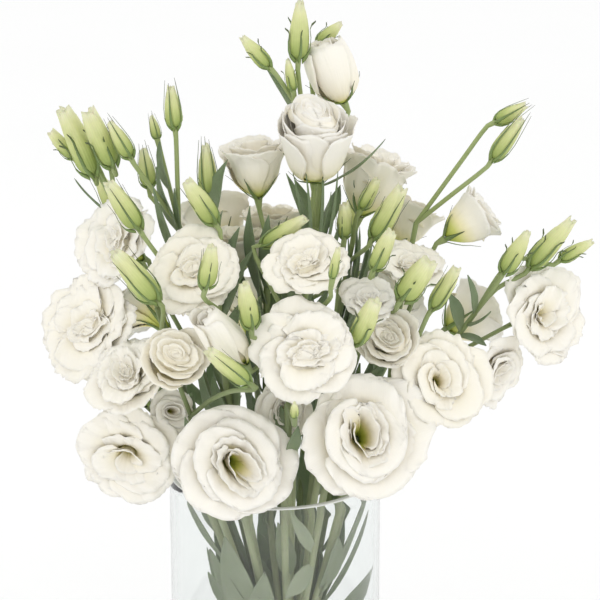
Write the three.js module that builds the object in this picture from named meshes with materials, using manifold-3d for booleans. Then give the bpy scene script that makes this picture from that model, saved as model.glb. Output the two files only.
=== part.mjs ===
// A bunch of white lisianthus standing in a clear glass cylinder vase.
// Millimetres, +Z up. The origin is the centre of the vase's foot, and -Y is the front of the bunch.
// Every stem is one green body with its branches, leaves, calyces and buds; every open flower is a
// body of its own, seated a hair above its calyx.
import * as THREE from "three";
import { mergeVertices } from "three/addons/utils/BufferGeometryUtils.js";
import Module from "manifold-3d";

const wasm = await Module();
wasm.setup();

// The vase, the water and the room between touching pieces
const VASE = { radius: 63.5, height: 250, wall: 3.5, floor: 9, footEdge: 1.2, lip: 1.2, sides: 32 };
const WATER_TOP = 122;
const SEAT_GAP = 0.35;
const HOLE_GAP = 0.6;

// Stems: half thicknesses, and how they gather towards the middle of the vase below its mouth
const MAIN_STEM = 2.1;
const TWIG = 1.6;
const PEDICEL = 1.4;
const RECEPTACLE = 2.6;
const BUD_SEAT = 1.8;
const GATHER = 0.36;
const GATHER_SHIFT = 5;
const GATHER_HEIGHT = 138;
const STEM_SPACING = 38;
const PEDICEL_SPACING = 26;
const APPROACH = 7;
const STEM_SIDES = 5;
const SMALLEST_FACET = 0.08;
const PETALS = 5;

// A stem or branch bends away from whatever it would cross, a little at each pass
const CLEARANCE = 1.3;
const PASSES = 90;
const LONGEST_MOVE = 4;

// Open flowers: centre of the rim, the way the flower faces, rim radius, depth from rim to calyx,
// and the form its petals take
const BLOOMS = {
  front_left: { rim: [-23, -80, 286], face: [0.12, -0.93, 0.33], radius: 34, depth: 34, form: "open" },
  front_right: { rim: [53, -82, 303], face: [0.15, -0.9, 0.42], radius: 37, depth: 36, form: "open" },
  centre_front: { rim: [17, -90, 357], face: [-0.05, -0.85, 0.5], radius: 29, depth: 30, form: "open" },
  centre_rose: { rim: [18, -55, 399], face: [0, -0.55, 0.83], radius: 25, depth: 30, form: "rose" },
  top_rose: { rim: [23, -9, 472], face: [0, -0.3, 0.95], radius: 23, depth: 47, form: "rose" },
  top_bud: { rim: [27, 25, 505], face: [-0.36, 0, 0.93], radius: 13, depth: 38, form: "closed" },
  top_left: { rim: [-13, 17, 449], face: [-0.1, 0.05, 1], radius: 20, depth: 35, form: "cup" },
  top_right: { rim: [63, 30, 439], face: [0.3, 0.1, 0.94], radius: 23, depth: 41, form: "cup" },
  back_right: { rim: [84, 55, 401], face: [0.4, 0.3, 0.85], radius: 17, depth: 30, form: "cup" },
  far_right_high: { rim: [127, 20, 407], face: [0.8, 0.1, 0.55], radius: 18, depth: 32, form: "cup" },
  left_high: { rim: [-95, -5, 395], face: [-0.55, -0.6, 0.55], radius: 26, depth: 30, form: "open" },
  left_middle: { rim: [-46, -50, 391], face: [-0.05, -0.78, 0.6], radius: 27, depth: 30, form: "open" },
  back_left_small: { rim: [-22, 20, 394], face: [-0.05, 0, 1], radius: 14, depth: 26, form: "cup" },
  back_centre: { rim: [0, 47, 400], face: [0, 0.15, 1], radius: 17, depth: 28, form: "cup" },
  left_ruffled: { rim: [-111, -18, 346], face: [-0.55, -0.72, 0.4], radius: 30, depth: 30, form: "open" },
  left_cup: { rim: [-86, -57, 334], face: [-0.35, -0.5, 0.8], radius: 22, depth: 36, form: "cup" },
  small_rose: { rim: [-54, -82, 352], face: [0.1, -0.8, 0.6], radius: 18, depth: 26, form: "rose" },
  white_bud: { rim: [-39, -88, 377], face: [-0.55, -0.33, 0.8], radius: 11, depth: 44, form: "closed" },
  left_nodding: { rim: [-86, -52, 279], face: [-0.08, -0.97, 0.05], radius: 29, depth: 28, form: "open" },
  right_open: { rim: [96, -57, 327], face: [0.15, -0.85, 0.4], radius: 24, depth: 32, form: "cup" },
  right_low: { rim: [136, -17, 315], face: [0.6, -0.5, -0.1], radius: 20, depth: 26, form: "cup" },
  right_far: { rim: [162, -3, 350], face: [0.55, -0.7, 0.45], radius: 27, depth: 32, form: "open" },
  right_back: { rim: [79, -16, 387], face: [0.2, -0.3, 0.9], radius: 20, depth: 28, form: "cup" },
  right_middle: { rim: [54, -50, 375], face: [0.1, -0.5, 0.85], radius: 14, depth: 24, form: "cup" },
  right_cream: { rim: [65, -52, 352], face: [-0.1, -0.7, 0.6], radius: 13, depth: 22, form: "rose" },
  under_centre: { rim: [6, -52, 306], face: [0.1, -0.8, 0.3], radius: 13, depth: 22, form: "cup" },
  under_left: { rim: [-58, -44, 303], face: [0.2, -0.8, 0.3], radius: 10.5, depth: 18, form: "cup" },
  rear_left: { rim: [-85, 70, 335], face: [-0.6, 0.65, 0.45], radius: 28, depth: 32, form: "open" },
  rear_middle: { rim: [-15, 100, 320], face: [0, 0.9, 0.4], radius: 30, depth: 34, form: "open" },
  rear_right: { rim: [68, 88, 333], face: [0.35, 0.85, 0.45], radius: 28, depth: 32, form: "open" },
  rear_far_right: { rim: [128, 55, 335], face: [0.8, 0.5, 0.35], radius: 24, depth: 30, form: "cup" },
  rear_high: { rim: [-42, 66, 395], face: [-0.25, 0.6, 0.75], radius: 24, depth: 30, form: "cup" },
};

// How the petals of each form stand, as rings of one skin that runs from the calyx up the outside,
// over each layer's rim and down again: share of radius, share of depth, how far the gap between two
// petals draws in and drops, and whether the layer is turned against the one outside it
const FORMS = {
  open: [
    [0.1, 0.03, 0, 0, 0], [0.34, 0.42, 0.06, 0, 0], [1.0, 0.93, 0.16, 0.1, 0],
    [0.45, 0.6, 0, 0, 0], [0.65, 1.02, 0.2, 0.12, 1], [0.25, 0.55, 0, 0, 1],
    [0.36, 0.98, 0.2, 0.14, 0], [0.06, 0.5, 0, 0, 0],
  ],
  cup: [
    [0.16, 0.03, 0, 0, 0], [0.62, 0.36, 0.05, 0, 0], [1.0, 0.95, 0.14, 0.12, 0],
    [0.54, 0.58, 0, 0, 0], [0.66, 1.0, 0.16, 0.12, 1], [0.34, 0.5, 0, 0, 1],
    [0.38, 0.97, 0.2, 0.1, 0], [0.08, 0.6, 0, 0, 0],
  ],
  rose: [
    [0.16, 0.03, 0, 0, 0], [0.76, 0.36, 0.04, 0, 0], [1.0, 0.88, 0.1, 0.1, 0],
    [0.64, 0.66, 0, 0, 0], [0.7, 1.0, 0.12, 0.1, 1], [0.4, 0.68, 0, 0, 1],
    [0.4, 1.02, 0.16, 0.06, 0], [0.12, 0.76, 0, 0, 0],
  ],
  closed: [
    [0.26, 0.04, 0, 0, 0], [0.86, 0.24, 0.04, 0, 0], [1.0, 0.56, 0.05, 0, 0],
    [0.62, 0.96, 0.3, 0.08, 1], [0.2, 0.88, 0, 0, 1],
  ],
};
// Flowers smaller than this have one layer of petals fewer
const SMALL_RADIUS = 21;
const SMALL_RINGS = 6;
const WIDE_RADIUS = 29.5;

// Stems: where each passes the vase's mouth, where it forks, and the flowers and buds it carries.
// A bud is its seat, its tip and its half thickness. A twig is a second fork with its own buds.
// A leaf is the branch it grows on, counted in the order stem, twigs, flowers, buds; the height where
// it grows; its tip; and its half width.
const SPRAYS = {
  right_far: {
    mouth: [49, -4], fork: [96, -4, 318], blooms: ["right_far", "right_low"],
    twigs: [{ fork: [118, -5, 350], buds: [[[134, -10, 377], [147, -10, 401], 5.6],
      [[151, 2, 377], [174, 2, 405], 6.2], [[169, 8, 379], [187, 8, 390], 4]] }],
    leaves: [[0, 150, [54, -9, 206], 7], [1, 338, [101, -14, 366], 2.6]],
  },
  right_front: {
    mouth: [43, -25], fork: [66, -34, 300], blooms: ["right_open", "right_cream"],
    buds: [[[91, -43, 366], [104, -45, 390], 5]],
    leaves: [[0, 178, [37, -37, 222], 6]],
  },
  front_right: {
    mouth: [29, -41], fork: [34, -48, 276], blooms: ["front_right"],
    buds: [[[46, -76, 356], [57, -80, 382], 6]],
    leaves: [[0, 200, [6, -46, 186], 6], [0, 208, [9, -40, 238], 4]],
  },
  front_centre: {
    mouth: [6, -50], fork: [8, -56, 312], blooms: ["centre_front"],
    buds: [[[12, -114, 326], [12, -119, 336], 2.4]],
    leaves: [],
  },
  front_left: {
    mouth: [-20, -45], fork: [-24, -46, 262], blooms: ["front_left", "under_centre"],
    leaves: [[0, 148, [-21, -44, 216], 8]],
  },
  front_far_left: {
    mouth: [-37, -33], fork: [-48, -44, 300], blooms: ["small_rose"],
    buds: [[[-14, -100, 341], [-35, -108, 362], 5]],
    leaves: [[0, 146, [-38, -33, 212], 7]],
  },
  left_low: {
    mouth: [-47, -16], fork: [-58, -20, 268], blooms: ["left_nodding", "under_left"],
    leaves: [[0, 146, [-40, -17, 190], 6]],
  },
  left: {
    mouth: [-50, 4], fork: [-68, -2, 300], blooms: ["left_ruffled", "left_cup"],
    buds: [[[-66, -68, 379], [-88, -70, 407], 7]],
    leaves: [[0, 148, [-42, 6, 196], 6]],
  },
  left_high: {
    mouth: [-44, 23], fork: [-70, 20, 345], blooms: ["left_high"],
    twigs: [{ fork: [-92, 14, 405], buds: [[[-106, 12, 430], [-122, 12, 469], 7],
      [[-94, 2, 438], [-107, 0, 471], 6.5], [[-118, 20, 438], [-131, 22, 453], 4]] }],
    leaves: [[0, 146, [-38, 24, 196], 7], [1, 402, [-118, 24, 424], 2.2]],
  },
  rear_left: {
    mouth: [-33, 38], fork: [-46, 44, 300], blooms: ["rear_left", "rear_high"],
    buds: [[[-96, 58, 392], [-108, 62, 418], 5.5]],
    leaves: [[0, 156, [-35, 41, 220], 8]],
  },
  rear_middle: {
    mouth: [-9, 49], fork: [-12, 55, 290], blooms: ["rear_middle"],
    buds: [[[14, 98, 362], [20, 104, 390], 5.5]],
    leaves: [[0, 146, [-8, 52, 212], 8]],
  },
  rear_right: {
    mouth: [18, 46], fork: [34, 52, 295], blooms: ["rear_right"],
    buds: [[[44, 92, 372], [52, 98, 398], 5.5]],
    leaves: [[0, 158, [20, 50, 226], 8]],
  },
  rear_far_right: {
    mouth: [40, 29], fork: [70, 34, 310], blooms: ["rear_far_right", "far_right_high"],
    twigs: [{ fork: [84, 26, 396], buds: [[[130, 22, 459], [147, 22, 469], 4.6],
      [[128, 14, 439], [144, 12, 463], 5.2]] }],
    leaves: [[0, 148, [43, 32, 214], 7]],
  },
  middle_left: {
    mouth: [-20, -18], fork: [-32, -22, 340], blooms: ["left_middle"],
    buds: [[[-77, -38, 412], [-93, -40, 439], 6], [[-34, -34, 414], [-49, -34, 438], 6],
      [[-37, -86, 392], [-33, -88, 416], 5.2]],
    leaves: [],
  },
  left_top: {
    mouth: [-24, 7], fork: [-38, 10, 345], blooms: ["back_left_small"],
    twigs: [{ fork: [-56, 8, 400], buds: [[[-57, 0, 461], [-59, 0, 485], 5],
      [[-68, 10, 452], [-71, 10, 465], 3], [[-83, -5, 445], [-94, -5, 465], 4.8],
      [[-74, 22, 420], [-77, 22, 442], 5]] }],
    buds: [[[-38, 12, 418], [-40, 12, 447], 5.6]],
    leaves: [[1, 392, [-68, 2, 437], 4], [7, 392, [-27, 6, 439], 4.5], [4, 436, [-61, 8, 456], 2.2]],
  },
  top_left: {
    mouth: [-6, 8], fork: [-4, 8, 390], blooms: ["top_left"],
    leaves: [],
  },
  centre: {
    mouth: [8, -24], fork: [10, -34, 350], blooms: ["centre_rose", "white_bud"],
    buds: [[[-12, -84, 368], [-16, -86, 394], 5.4], [[-6, -24, 398], [18, -26, 414], 5],
      [[33, -86, 397], [36, -88, 415], 2.6]],
    leaves: [[0, 185, [2, -26, 226], 6]],
  },
  top: {
    mouth: [11, -3], fork: [22, 2, 400], blooms: ["top_rose"],
    buds: [[[41, -2, 396], [41, -3, 416], 4.4]],
    leaves: [[0, 392, [7, -2, 434], 3.2]],
  },
  top_right: {
    mouth: [10, 15], fork: [28, 22, 430], blooms: ["top_bud"],
    twigs: [{ fork: [17, 18, 464], buds: [[[14, 15, 498], [15, 15, 531], 6],
      [[-3, 8, 495], [-18, 8, 512], 4.6], [[11, 12, 480], [8, 12, 498], 3.2]] }],
    buds: [[[26, 38, 502], [39, 38, 514], 4.2]],
    leaves: [[0, 420, [64, -8, 456], 2.2], [1, 452, [-4, 14, 492], 3]],
  },
  right_top: {
    mouth: [24, 8], fork: [44, 16, 375], blooms: ["top_right"],
    buds: [[[58, -12, 399], [74, -14, 429], 6.4], [[51, 2, 412], [60, 1, 430], 4]],
    leaves: [],
  },
  right_middle: {
    mouth: [26, -13], fork: [52, -22, 342], blooms: ["right_back", "right_middle"],
    buds: [[[73, -60, 377], [88, -62, 400], 7], [[57, -58, 394], [66, -60, 416], 5]],
    leaves: [],
  },
  back: {
    mouth: [4, 29], fork: [14, 40, 340], blooms: ["back_centre", "back_right"],
    leaves: [],
  },
};

const TURN = Math.PI * 2;
const vec = (p) => new THREE.Vector3(...p);

// The same draw of random numbers each time, from 0 to 1
function draws(seed) {
  let state = seed * 7919 + 17;
  return () => {
    state = (state * 48271) % 2147483647;
    return state / 2147483647;
  };
}

function solidOf(geometry) {
  const bare = new THREE.BufferGeometry().setAttribute("position", geometry.getAttribute("position"));
  bare.setIndex(geometry.index);
  const merged = mergeVertices(bare, 1e-4);
  return new wasm.Manifold(new wasm.Mesh({
    numProp: 3,
    vertProperties: new Float32Array(merged.attributes.position.array),
    triVerts: new Uint32Array(merged.index.array),
  }));
}

function geometryOf(solid) {
  const made = solid.getMesh();
  const geometry = new THREE.BufferGeometry();
  geometry.setAttribute("position", new THREE.BufferAttribute(new Float32Array(made.vertProperties), 3));
  geometry.setIndex(new THREE.BufferAttribute(new Uint32Array(made.triVerts), 1));
  geometry.computeVertexNormals();
  return geometry;
}

// A closed skin over rings of points, each ring counter-clockwise seen from the last one, with a point
// closing each end
function loft(rings, first, last) {
  const columns = rings[0].length;
  const points = [...rings.flat(), first, last];
  const faces = [];
  const at = (ring, column) => ring * columns + (column % columns);
  for (let r = 0; r + 1 < rings.length; r++) {
    for (let c = 0; c < columns; c++) {
      faces.push(at(r, c), at(r, c + 1), at(r + 1, c + 1));
      faces.push(at(r, c), at(r + 1, c + 1), at(r + 1, c));
    }
  }
  const top = rings.length - 1;
  for (let c = 0; c < columns; c++) {
    faces.push(points.length - 2, at(0, c + 1), at(0, c));
    faces.push(points.length - 1, at(top, c), at(top, c + 1));
  }
  const geometry = new THREE.BufferGeometry().setFromPoints(points);
  geometry.setIndex(faces);
  return geometry;
}

// Two directions square to an axis, the first turned by an angle about it
function crossAxes(axis, turn = 0) {
  const helper = Math.abs(axis.z) > 0.9 ? new THREE.Vector3(1, 0, 0) : new THREE.Vector3(0, 0, 1);
  const across = new THREE.Vector3().crossVectors(helper, axis).normalize().applyAxisAngle(axis, turn);
  return [across, new THREE.Vector3().crossVectors(axis, across)];
}

// A function from angle, radius and height to a point of a flower or bud on its seat
function headFrame(seat, axis, turn) {
  const [across, up] = crossAxes(axis, turn);
  return (angle, radius, height) => seat.clone()
    .addScaledVector(axis, height)
    .addScaledVector(across, Math.cos(angle) * radius)
    .addScaledVector(up, Math.sin(angle) * radius);
}

const bloomAxis = (bloom) => vec(bloom.face).normalize();
const bloomSeat = (bloom) => vec(bloom.rim).addScaledVector(bloomAxis(bloom), -bloom.depth);

// One open flower: petals in layers, each layer five lobes that lap over one another
function bloomGeometry(bloom, number) {
  const random = draws(number + 3);
  const place = headFrame(bloomSeat(bloom), bloomAxis(bloom), random() * TURN);
  const step = bloom.form === "closed" ? 2 : bloom.radius > WIDE_RADIUS && bloom.rim[1] < 60 ? 4 : 3;
  const columns = PETALS * step;
  const reach = Array.from({ length: PETALS }, () => 0.95 + 0.09 * random());
  const all = FORMS[bloom.form];
  const rows = bloom.radius < SMALL_RADIUS ? all.slice(0, SMALL_RINGS) : all;
  const rings = rows.map(([radius, height, notch, dip, turned]) => (
    Array.from({ length: columns }, (_, column) => {
      const shifted = column + turned * Math.floor(step / 2);
      const along = (shifted % step) / step;
      const petal = Math.floor((shifted % columns) / step);
      const gap = along === 0 ? 1 : 0;
      const lap = notch > 0 ? 0.035 * (along - 0.5) : 0;
      const out = bloom.radius * (radius * (1 - notch * gap) * (notch > 0 ? reach[petal] : 1) + lap);
      return place((column / columns) * TURN, out, SEAT_GAP + bloom.depth * (height - dip * gap));
    })
  ));
  const [, lastHeight] = rows.at(-1);
  return loft(rings, place(0, 0, SEAT_GAP), place(0, 0, SEAT_GAP + bloom.depth * (lastHeight - 0.03)));
}

// The outline a flower takes up beside its axis, as share of depth and share of radius
const OUTLINES = {
  open: [[0, 0.12], [0.42, 0.36], [0.93, 1.04], [1.04, 1.04]],
  cup: [[0, 0.18], [0.36, 0.66], [0.95, 1.04], [1.04, 1.04]],
  rose: [[0, 0.18], [0.36, 0.8], [0.88, 1.04], [1.04, 1.04]],
  closed: [[0, 0.28], [0.24, 0.9], [0.56, 1.04], [1.04, 0.7]],
};

function outlineRadius(bloom, share) {
  const rows = OUTLINES[bloom.form];
  if (share <= 0) return rows[0][1] * bloom.radius;
  for (let i = 1; i < rows.length; i++) {
    const [low, narrow] = rows[i - 1];
    const [high, wide] = rows[i];
    if (share <= high) return (narrow + ((share - low) / (high - low)) * (wide - narrow)) * bloom.radius;
  }
  return rows.at(-1)[1] * bloom.radius;
}

// The shortest way out of a flower's outline, widened by a margin, for a point inside it
function wayOut(point, bloom, margin) {
  const axis = bloomAxis(bloom);
  const from = point.clone().sub(bloomSeat(bloom));
  const height = from.dot(axis);
  const top = bloom.depth * 1.04;
  if (height < -margin || height > top + margin) return null;
  const side = from.clone().addScaledVector(axis, -height);
  const inside = outlineRadius(bloom, height / bloom.depth) + margin - side.length();
  if (inside <= 0) return null;
  if (side.length() < 1e-6) side.copy(crossAxes(axis)[0]);
  const below = height + margin;
  const above = top + margin - height;
  if (below < inside && below < above) return axis.clone().multiplyScalar(-below);
  if (above < inside) return axis.clone().multiplyScalar(above);
  return side.normalize().multiplyScalar(inside);
}

// Nearest points of two straight pieces, as shares along each, and the gap between them
function nearest(p1, q1, p2, q2) {
  const d1 = q1.clone().sub(p1);
  const d2 = q2.clone().sub(p2);
  const r = p1.clone().sub(p2);
  const a = d1.dot(d1);
  const e = d2.dot(d2);
  const b = d1.dot(d2);
  const c = d1.dot(r);
  const f = d2.dot(r);
  const clamp = (x) => Math.min(1, Math.max(0, x));
  const denominator = a * e - b * b;
  let s = denominator > 1e-9 ? clamp((b * f - c * e) / denominator) : 0;
  const t = clamp((b * s + f) / e);
  s = clamp((b * t - c) / a);
  const gap = p1.clone().addScaledVector(d1, s).sub(p2.clone().addScaledVector(d2, t));
  return { s, t, gap };
}

// Points along a smooth bend between two ends, each left or met along its own direction
function bend(start, leaving, end, arriving, spacing) {
  const reach = start.distanceTo(end);
  const curve = new THREE.CubicBezierCurve3(
    start,
    start.clone().addScaledVector(leaving, reach * 0.35),
    end.clone().addScaledVector(arriving, -reach * 0.35),
    end,
  );
  return curve.getSpacedPoints(Math.max(2, Math.round(curve.getLength() / spacing)));
}

// A stem: upright in the water, leaning out to the mouth, then bending up to its fork
function mainBranch(spray) {
  const [x, y] = spray.mouth;
  const foot = new THREE.Vector3(x * GATHER + GATHER_SHIFT, y * GATHER, VASE.floor + SEAT_GAP);
  const knee = foot.clone().setZ(GATHER_HEIGHT);
  const mouth = new THREE.Vector3(x, y, VASE.height);
  const middle = knee.clone().lerp(mouth, 0.5).addScaledVector(new THREE.Vector3(x, y, 0), -0.04);
  const fork = vec(spray.fork);
  const leaving = mouth.clone().sub(middle).normalize();
  const arriving = fork.clone().sub(mouth).add(new THREE.Vector3(0, 0, 30)).normalize();
  const upper = bend(mouth, leaving, fork, arriving, STEM_SPACING);
  return { radius: MAIN_STEM, points: [foot, knee, middle, ...upper], held: 4, approach: 1 };
}

// A branch from a fork to the seat of a flower or a bud, meeting it along its axis
function headBranch(fork, leaving, seat, axis, head) {
  const below = seat.clone().addScaledVector(axis, -APPROACH);
  const points = [...bend(fork, leaving, below, axis, PEDICEL_SPACING), seat];
  return { radius: PEDICEL, points, held: 1, approach: 2, head, axis };
}

const leavingOf = ({ points }) => points.at(-1).clone().sub(points.at(-2)).normalize();

function budBranches(buds, from) {
  return buds.map(([seat, tip]) => {
    const axis = vec(tip).sub(vec(seat)).normalize();
    return headBranch(from.points.at(-1), leavingOf(from), vec(seat), axis, "bud");
  });
}

// Every branch of one stem, in the order stem, twigs, flowers, buds
function growBranches(spray) {
  const main = mainBranch(spray);
  const fork = main.points.at(-1);
  const twigs = (spray.twigs ?? []).map((twig) => {
    const end = vec(twig.fork);
    const arriving = end.clone().sub(fork).add(new THREE.Vector3(0, 0, 20)).normalize();
    const points = bend(fork, leavingOf(main), end, arriving, PEDICEL_SPACING);
    return { radius: TWIG, points, held: 1, approach: 1 };
  });
  const flowers = spray.blooms.map((name) => (
    headBranch(fork, leavingOf(main), bloomSeat(BLOOMS[name]), bloomAxis(BLOOMS[name]), name)
  ));
  const twigBuds = (spray.twigs ?? []).flatMap((twig, i) => budBranches(twig.buds, twigs[i]));
  return [main, ...twigs, ...flowers, ...twigBuds, ...budBranches(spray.buds ?? [], main)];
}

const budsOf = (spray) => [...(spray.twigs ?? []).flatMap((twig) => twig.buds), ...(spray.buds ?? [])];

// Bends the branches of all stems clear of flowers, of buds and of one another. The ends stay put.
function bendClear(grown) {
  const branches = Object.entries(grown).flatMap(([spray, list]) => list.map((branch) => ({ spray, branch })));
  const buds = Object.entries(SPRAYS).flatMap(([spray, row]) => budsOf(row).map(([seat, tip, girth]) => (
    { spray, branch: { points: [vec(seat), vec(tip)], radius: girth * 1.2 } }
  )));
  for (let pass = 0; pass < PASSES; pass++) {
    const ease = 0.3 * Math.max(0, 1 - pass / (PASSES * 0.7));
    const moves = new Map(branches.map(({ branch }) => [branch, branch.points.map(() => new THREE.Vector3())]));
    const press = (branch, segment, share, move) => {
      moves.get(branch)[segment].addScaledVector(move, 1 - share);
      moves.get(branch)[segment + 1].addScaledVector(move, share);
    };
    branches.forEach(({ spray, branch: a }, index) => {
      for (const other of [...branches.slice(index + 1), ...buds]) {
        if (spray === other.spray) continue;
        const b = other.branch;
        const still = !moves.has(b);
        const need = a.radius + b.radius + CLEARANCE;
        for (let i = 0; i + 1 < a.points.length; i++) {
          for (let j = 0; j + 1 < b.points.length; j++) {
            const { s, t, gap } = nearest(a.points[i], a.points[i + 1], b.points[j], b.points[j + 1]);
            const distance = gap.length();
            if (distance >= need || distance < 1e-9) continue;
            gap.multiplyScalar((need - distance) / distance);
            press(a, i, s, gap.clone().multiplyScalar(still ? 0.9 : 0.5));
            if (!still) press(b, j, t, gap.multiplyScalar(-0.5));
          }
        }
      }
      for (const [name, bloom] of Object.entries(BLOOMS)) {
        if (name === a.head) continue;
        for (let i = 0; i + 1 < a.points.length; i++) {
          for (const share of [0.25, 0.5, 0.75, 1]) {
            const out = wayOut(a.points[i].clone().lerp(a.points[i + 1], share), bloom, a.radius + CLEARANCE);
            if (out) press(a, i, share, out.multiplyScalar(0.5));
          }
        }
      }
    });
    for (const { branch } of branches) {
      const before = branch.points.map((p) => p.clone());
      for (let i = branch.held; i < before.length - branch.approach; i++) {
        const middle = before[i - 1].clone().add(before[i + 1]).multiplyScalar(0.5);
        branch.points[i].lerp(middle, ease).add(moves.get(branch)[i].clampLength(0, LONGEST_MOVE));
      }
    }
  }
}

// A round branch through its points, of a half thickness given for each, ending square to its axis
function tube(points, radii, sides, endAxis) {
  const last = points.length - 1;
  const along = (i) => points[i + 1].clone().sub(points[i]).normalize();
  const directions = points.map((p, i) => (
    along(Math.min(i, last - 1)).add(along(Math.max(i - 1, 0))).normalize()
  ));
  if (endAxis) directions[last] = endAxis;
  let [across] = crossAxes(directions[0]);
  const rings = points.map((p, i) => {
    across = across.clone().addScaledVector(directions[i], -across.dot(directions[i])).normalize();
    const up = new THREE.Vector3().crossVectors(directions[i], across);
    return Array.from({ length: sides }, (_, k) => {
      const angle = (k / sides) * TURN;
      return p.clone()
        .addScaledVector(across, Math.cos(angle) * radii[i])
        .addScaledVector(up, Math.sin(angle) * radii[i]);
    });
  });
  return loft(rings, points[0], points.at(-1));
}

// A closed bud: five sepals lie on its lower half and stand free at their tips
const BUD_RINGS = [[0.95, 0.17, 0, 0], [1.02, 0.26, 1.3, 0.68], [0.8, 0.62, 0, 0]];

function budGeometry([seat, tip, girth], turn) {
  const axis = vec(tip).sub(vec(seat));
  const length = axis.length();
  const place = headFrame(vec(seat), axis.normalize(), turn);
  const rings = BUD_RINGS.map(([radius, height, tipRadius, tipHeight]) => (
    Array.from({ length: 2 * PETALS }, (_, column) => {
      const isTip = tipRadius > 0 && column % 2 === 0;
      const out = girth * (isTip ? tipRadius : radius);
      return place((column / (2 * PETALS)) * TURN, out, length * (isTip ? tipHeight : height));
    })
  ));
  return loft(rings, place(0, 0, -1), place(0, 0, length));
}

// A thin blade from its stem to its tip, folded along the midrib and turned away from the vase's axis
const LEAF_ROWS = [[0.12, 0.45], [0.4, 1], [0.72, 0.78]];
const LEAF_THICKNESS = 1.6;
const LEAF_ARCH = 0.2;
const LEAF_FOLD = 0.18;

function leafGeometry(root, tip, halfWidth) {
  const chord = tip.clone().sub(root);
  const along = chord.clone().normalize();
  const normal = new THREE.Vector3(tip.x + root.x, tip.y + root.y, 0).normalize();
  normal.addScaledVector(along, -normal.dot(along)).normalize();
  const side = new THREE.Vector3().crossVectors(along, normal);
  const rings = LEAF_ROWS.map(([share, width]) => {
    const arch = chord.length() * LEAF_ARCH * share * (1 - share);
    const middle = root.clone().addScaledVector(chord, share).addScaledVector(normal, arch);
    const edge = (sign) => middle.clone()
      .addScaledVector(side, sign * halfWidth * width)
      .addScaledVector(normal, halfWidth * width * LEAF_FOLD);
    return [
      edge(1),
      middle.clone().addScaledVector(normal, -LEAF_THICKNESS / 2),
      edge(-1),
      middle.clone().addScaledVector(normal, LEAF_THICKNESS / 2),
    ];
  });
  return loft(rings, root, tip);
}

function pointAtHeight(points, height) {
  for (let i = 0; i + 1 < points.length; i++) {
    const [a, b] = [points[i], points[i + 1]];
    if (a.z <= height && height <= b.z) return a.clone().lerp(b, (height - a.z) / (b.z - a.z));
  }
  return points.at(-1).clone();
}

// All of one stem that is green, joined in one body. A hollow shut in between two branches is filled.
function spraySolid(spray, branches, number) {
  const parts = branches.map(({ points, radius, head, axis }) => {
    const end = head ? (head === "bud" ? BUD_SEAT : RECEPTACLE) : radius;
    const radii = points.map((p, i) => (i === points.length - 1 ? end : radius));
    return tube(points, radii, head === "bud" ? STEM_SIDES - 1 : STEM_SIDES, axis);
  });
  budsOf(spray).forEach((bud, i) => parts.push(budGeometry(bud, number + i)));
  for (const [branch, height, tip, halfWidth] of spray.leaves) {
    parts.push(leafGeometry(pointAtHeight(branches[branch].points, height), vec(tip), halfWidth));
  }
  const joined = wasm.Manifold.union(parts.map(solidOf)).simplify(SMALLEST_FACET);
  return joined.decompose().sort((a, b) => b.volume() - a.volume())[0];
}

function vaseSolid() {
  const { radius, height, wall, floor, footEdge, lip, sides } = VASE;
  const inner = radius - wall;
  const profile = [
    [0, 0], [radius - footEdge, 0], [radius, footEdge], [radius, height - lip], [radius - lip, height],
    [inner + lip, height], [inner, height - lip], [inner, floor + 4], [inner - 4, floor], [0, floor],
  ];
  const lathe = new THREE.LatheGeometry(profile.map(([r, z]) => new THREE.Vector2(r, z)), sides);
  return solidOf(lathe.rotateX(Math.PI / 2));
}

// Water stands in the vase with a plain hole for every stem
function waterSolid(stems) {
  const reach = VASE.radius - VASE.wall - SEAT_GAP;
  const low = VASE.floor + SEAT_GAP;
  const profile = [[0, low], [reach - 4, low], [reach, low + 4], [reach, WATER_TOP], [0, WATER_TOP]];
  const lathe = new THREE.LatheGeometry(profile.map(([r, z]) => new THREE.Vector2(r, z)), VASE.sides);
  const holes = stems.map(({ points: [foot, knee] }) => {
    const ends = [foot.clone().setZ(0), knee.clone()];
    return solidOf(tube(ends, [MAIN_STEM + HOLE_GAP, MAIN_STEM + HOLE_GAP], STEM_SIDES));
  });
  return solidOf(lathe.rotateX(Math.PI / 2)).subtract(wasm.Manifold.union(holes));
}

const finish = (color, roughness, opacity = 1) => new THREE.MeshStandardMaterial({
  color, roughness, metalness: 0, transparent: opacity < 1, opacity,
});
const GLASS = finish(0xeef4f2, 0.03, 0.3);
const WATER = finish(0xe4efec, 0.02, 0.35);
const PETAL = finish(0xf6f3ea, 0.7);
const GREEN = finish(0x7f9a58, 0.6);

function piece(name, geometry, material) {
  const mesh = new THREE.Mesh(geometry, material);
  mesh.name = name;
  return mesh;
}

const grown = Object.fromEntries(Object.entries(SPRAYS).map(([name, spray]) => [name, growBranches(spray)]));
bendClear(grown);

const bouquet = new THREE.Group();
bouquet.add(piece("vase", geometryOf(vaseSolid()), GLASS));
bouquet.add(piece("water", geometryOf(waterSolid(Object.values(grown).map(([main]) => main))), WATER));
Object.entries(SPRAYS).forEach(([name, spray], number) => {
  bouquet.add(piece(`stem_${name}`, geometryOf(spraySolid(spray, grown[name], number)), GREEN));
});
Object.entries(BLOOMS).forEach(([name, bloom], number) => {
  bouquet.add(piece(`bloom_${name}`, bloomGeometry(bloom, number), PETAL));
});

export default bouquet;
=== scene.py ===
# %% [markdown]
# # White lisianthus in a glass cylinder vase
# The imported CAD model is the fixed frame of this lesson: it says where the vase, the water and every
# stem and flower sit. Here each flower gets its petals one by one, each stem a smooth skin, leaves and
# buds, and the vase real glass. Blender works in metres and the tables below are in millimetres, so MM
# turns one into the other. -Y is the front of the bunch.

import math

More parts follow.
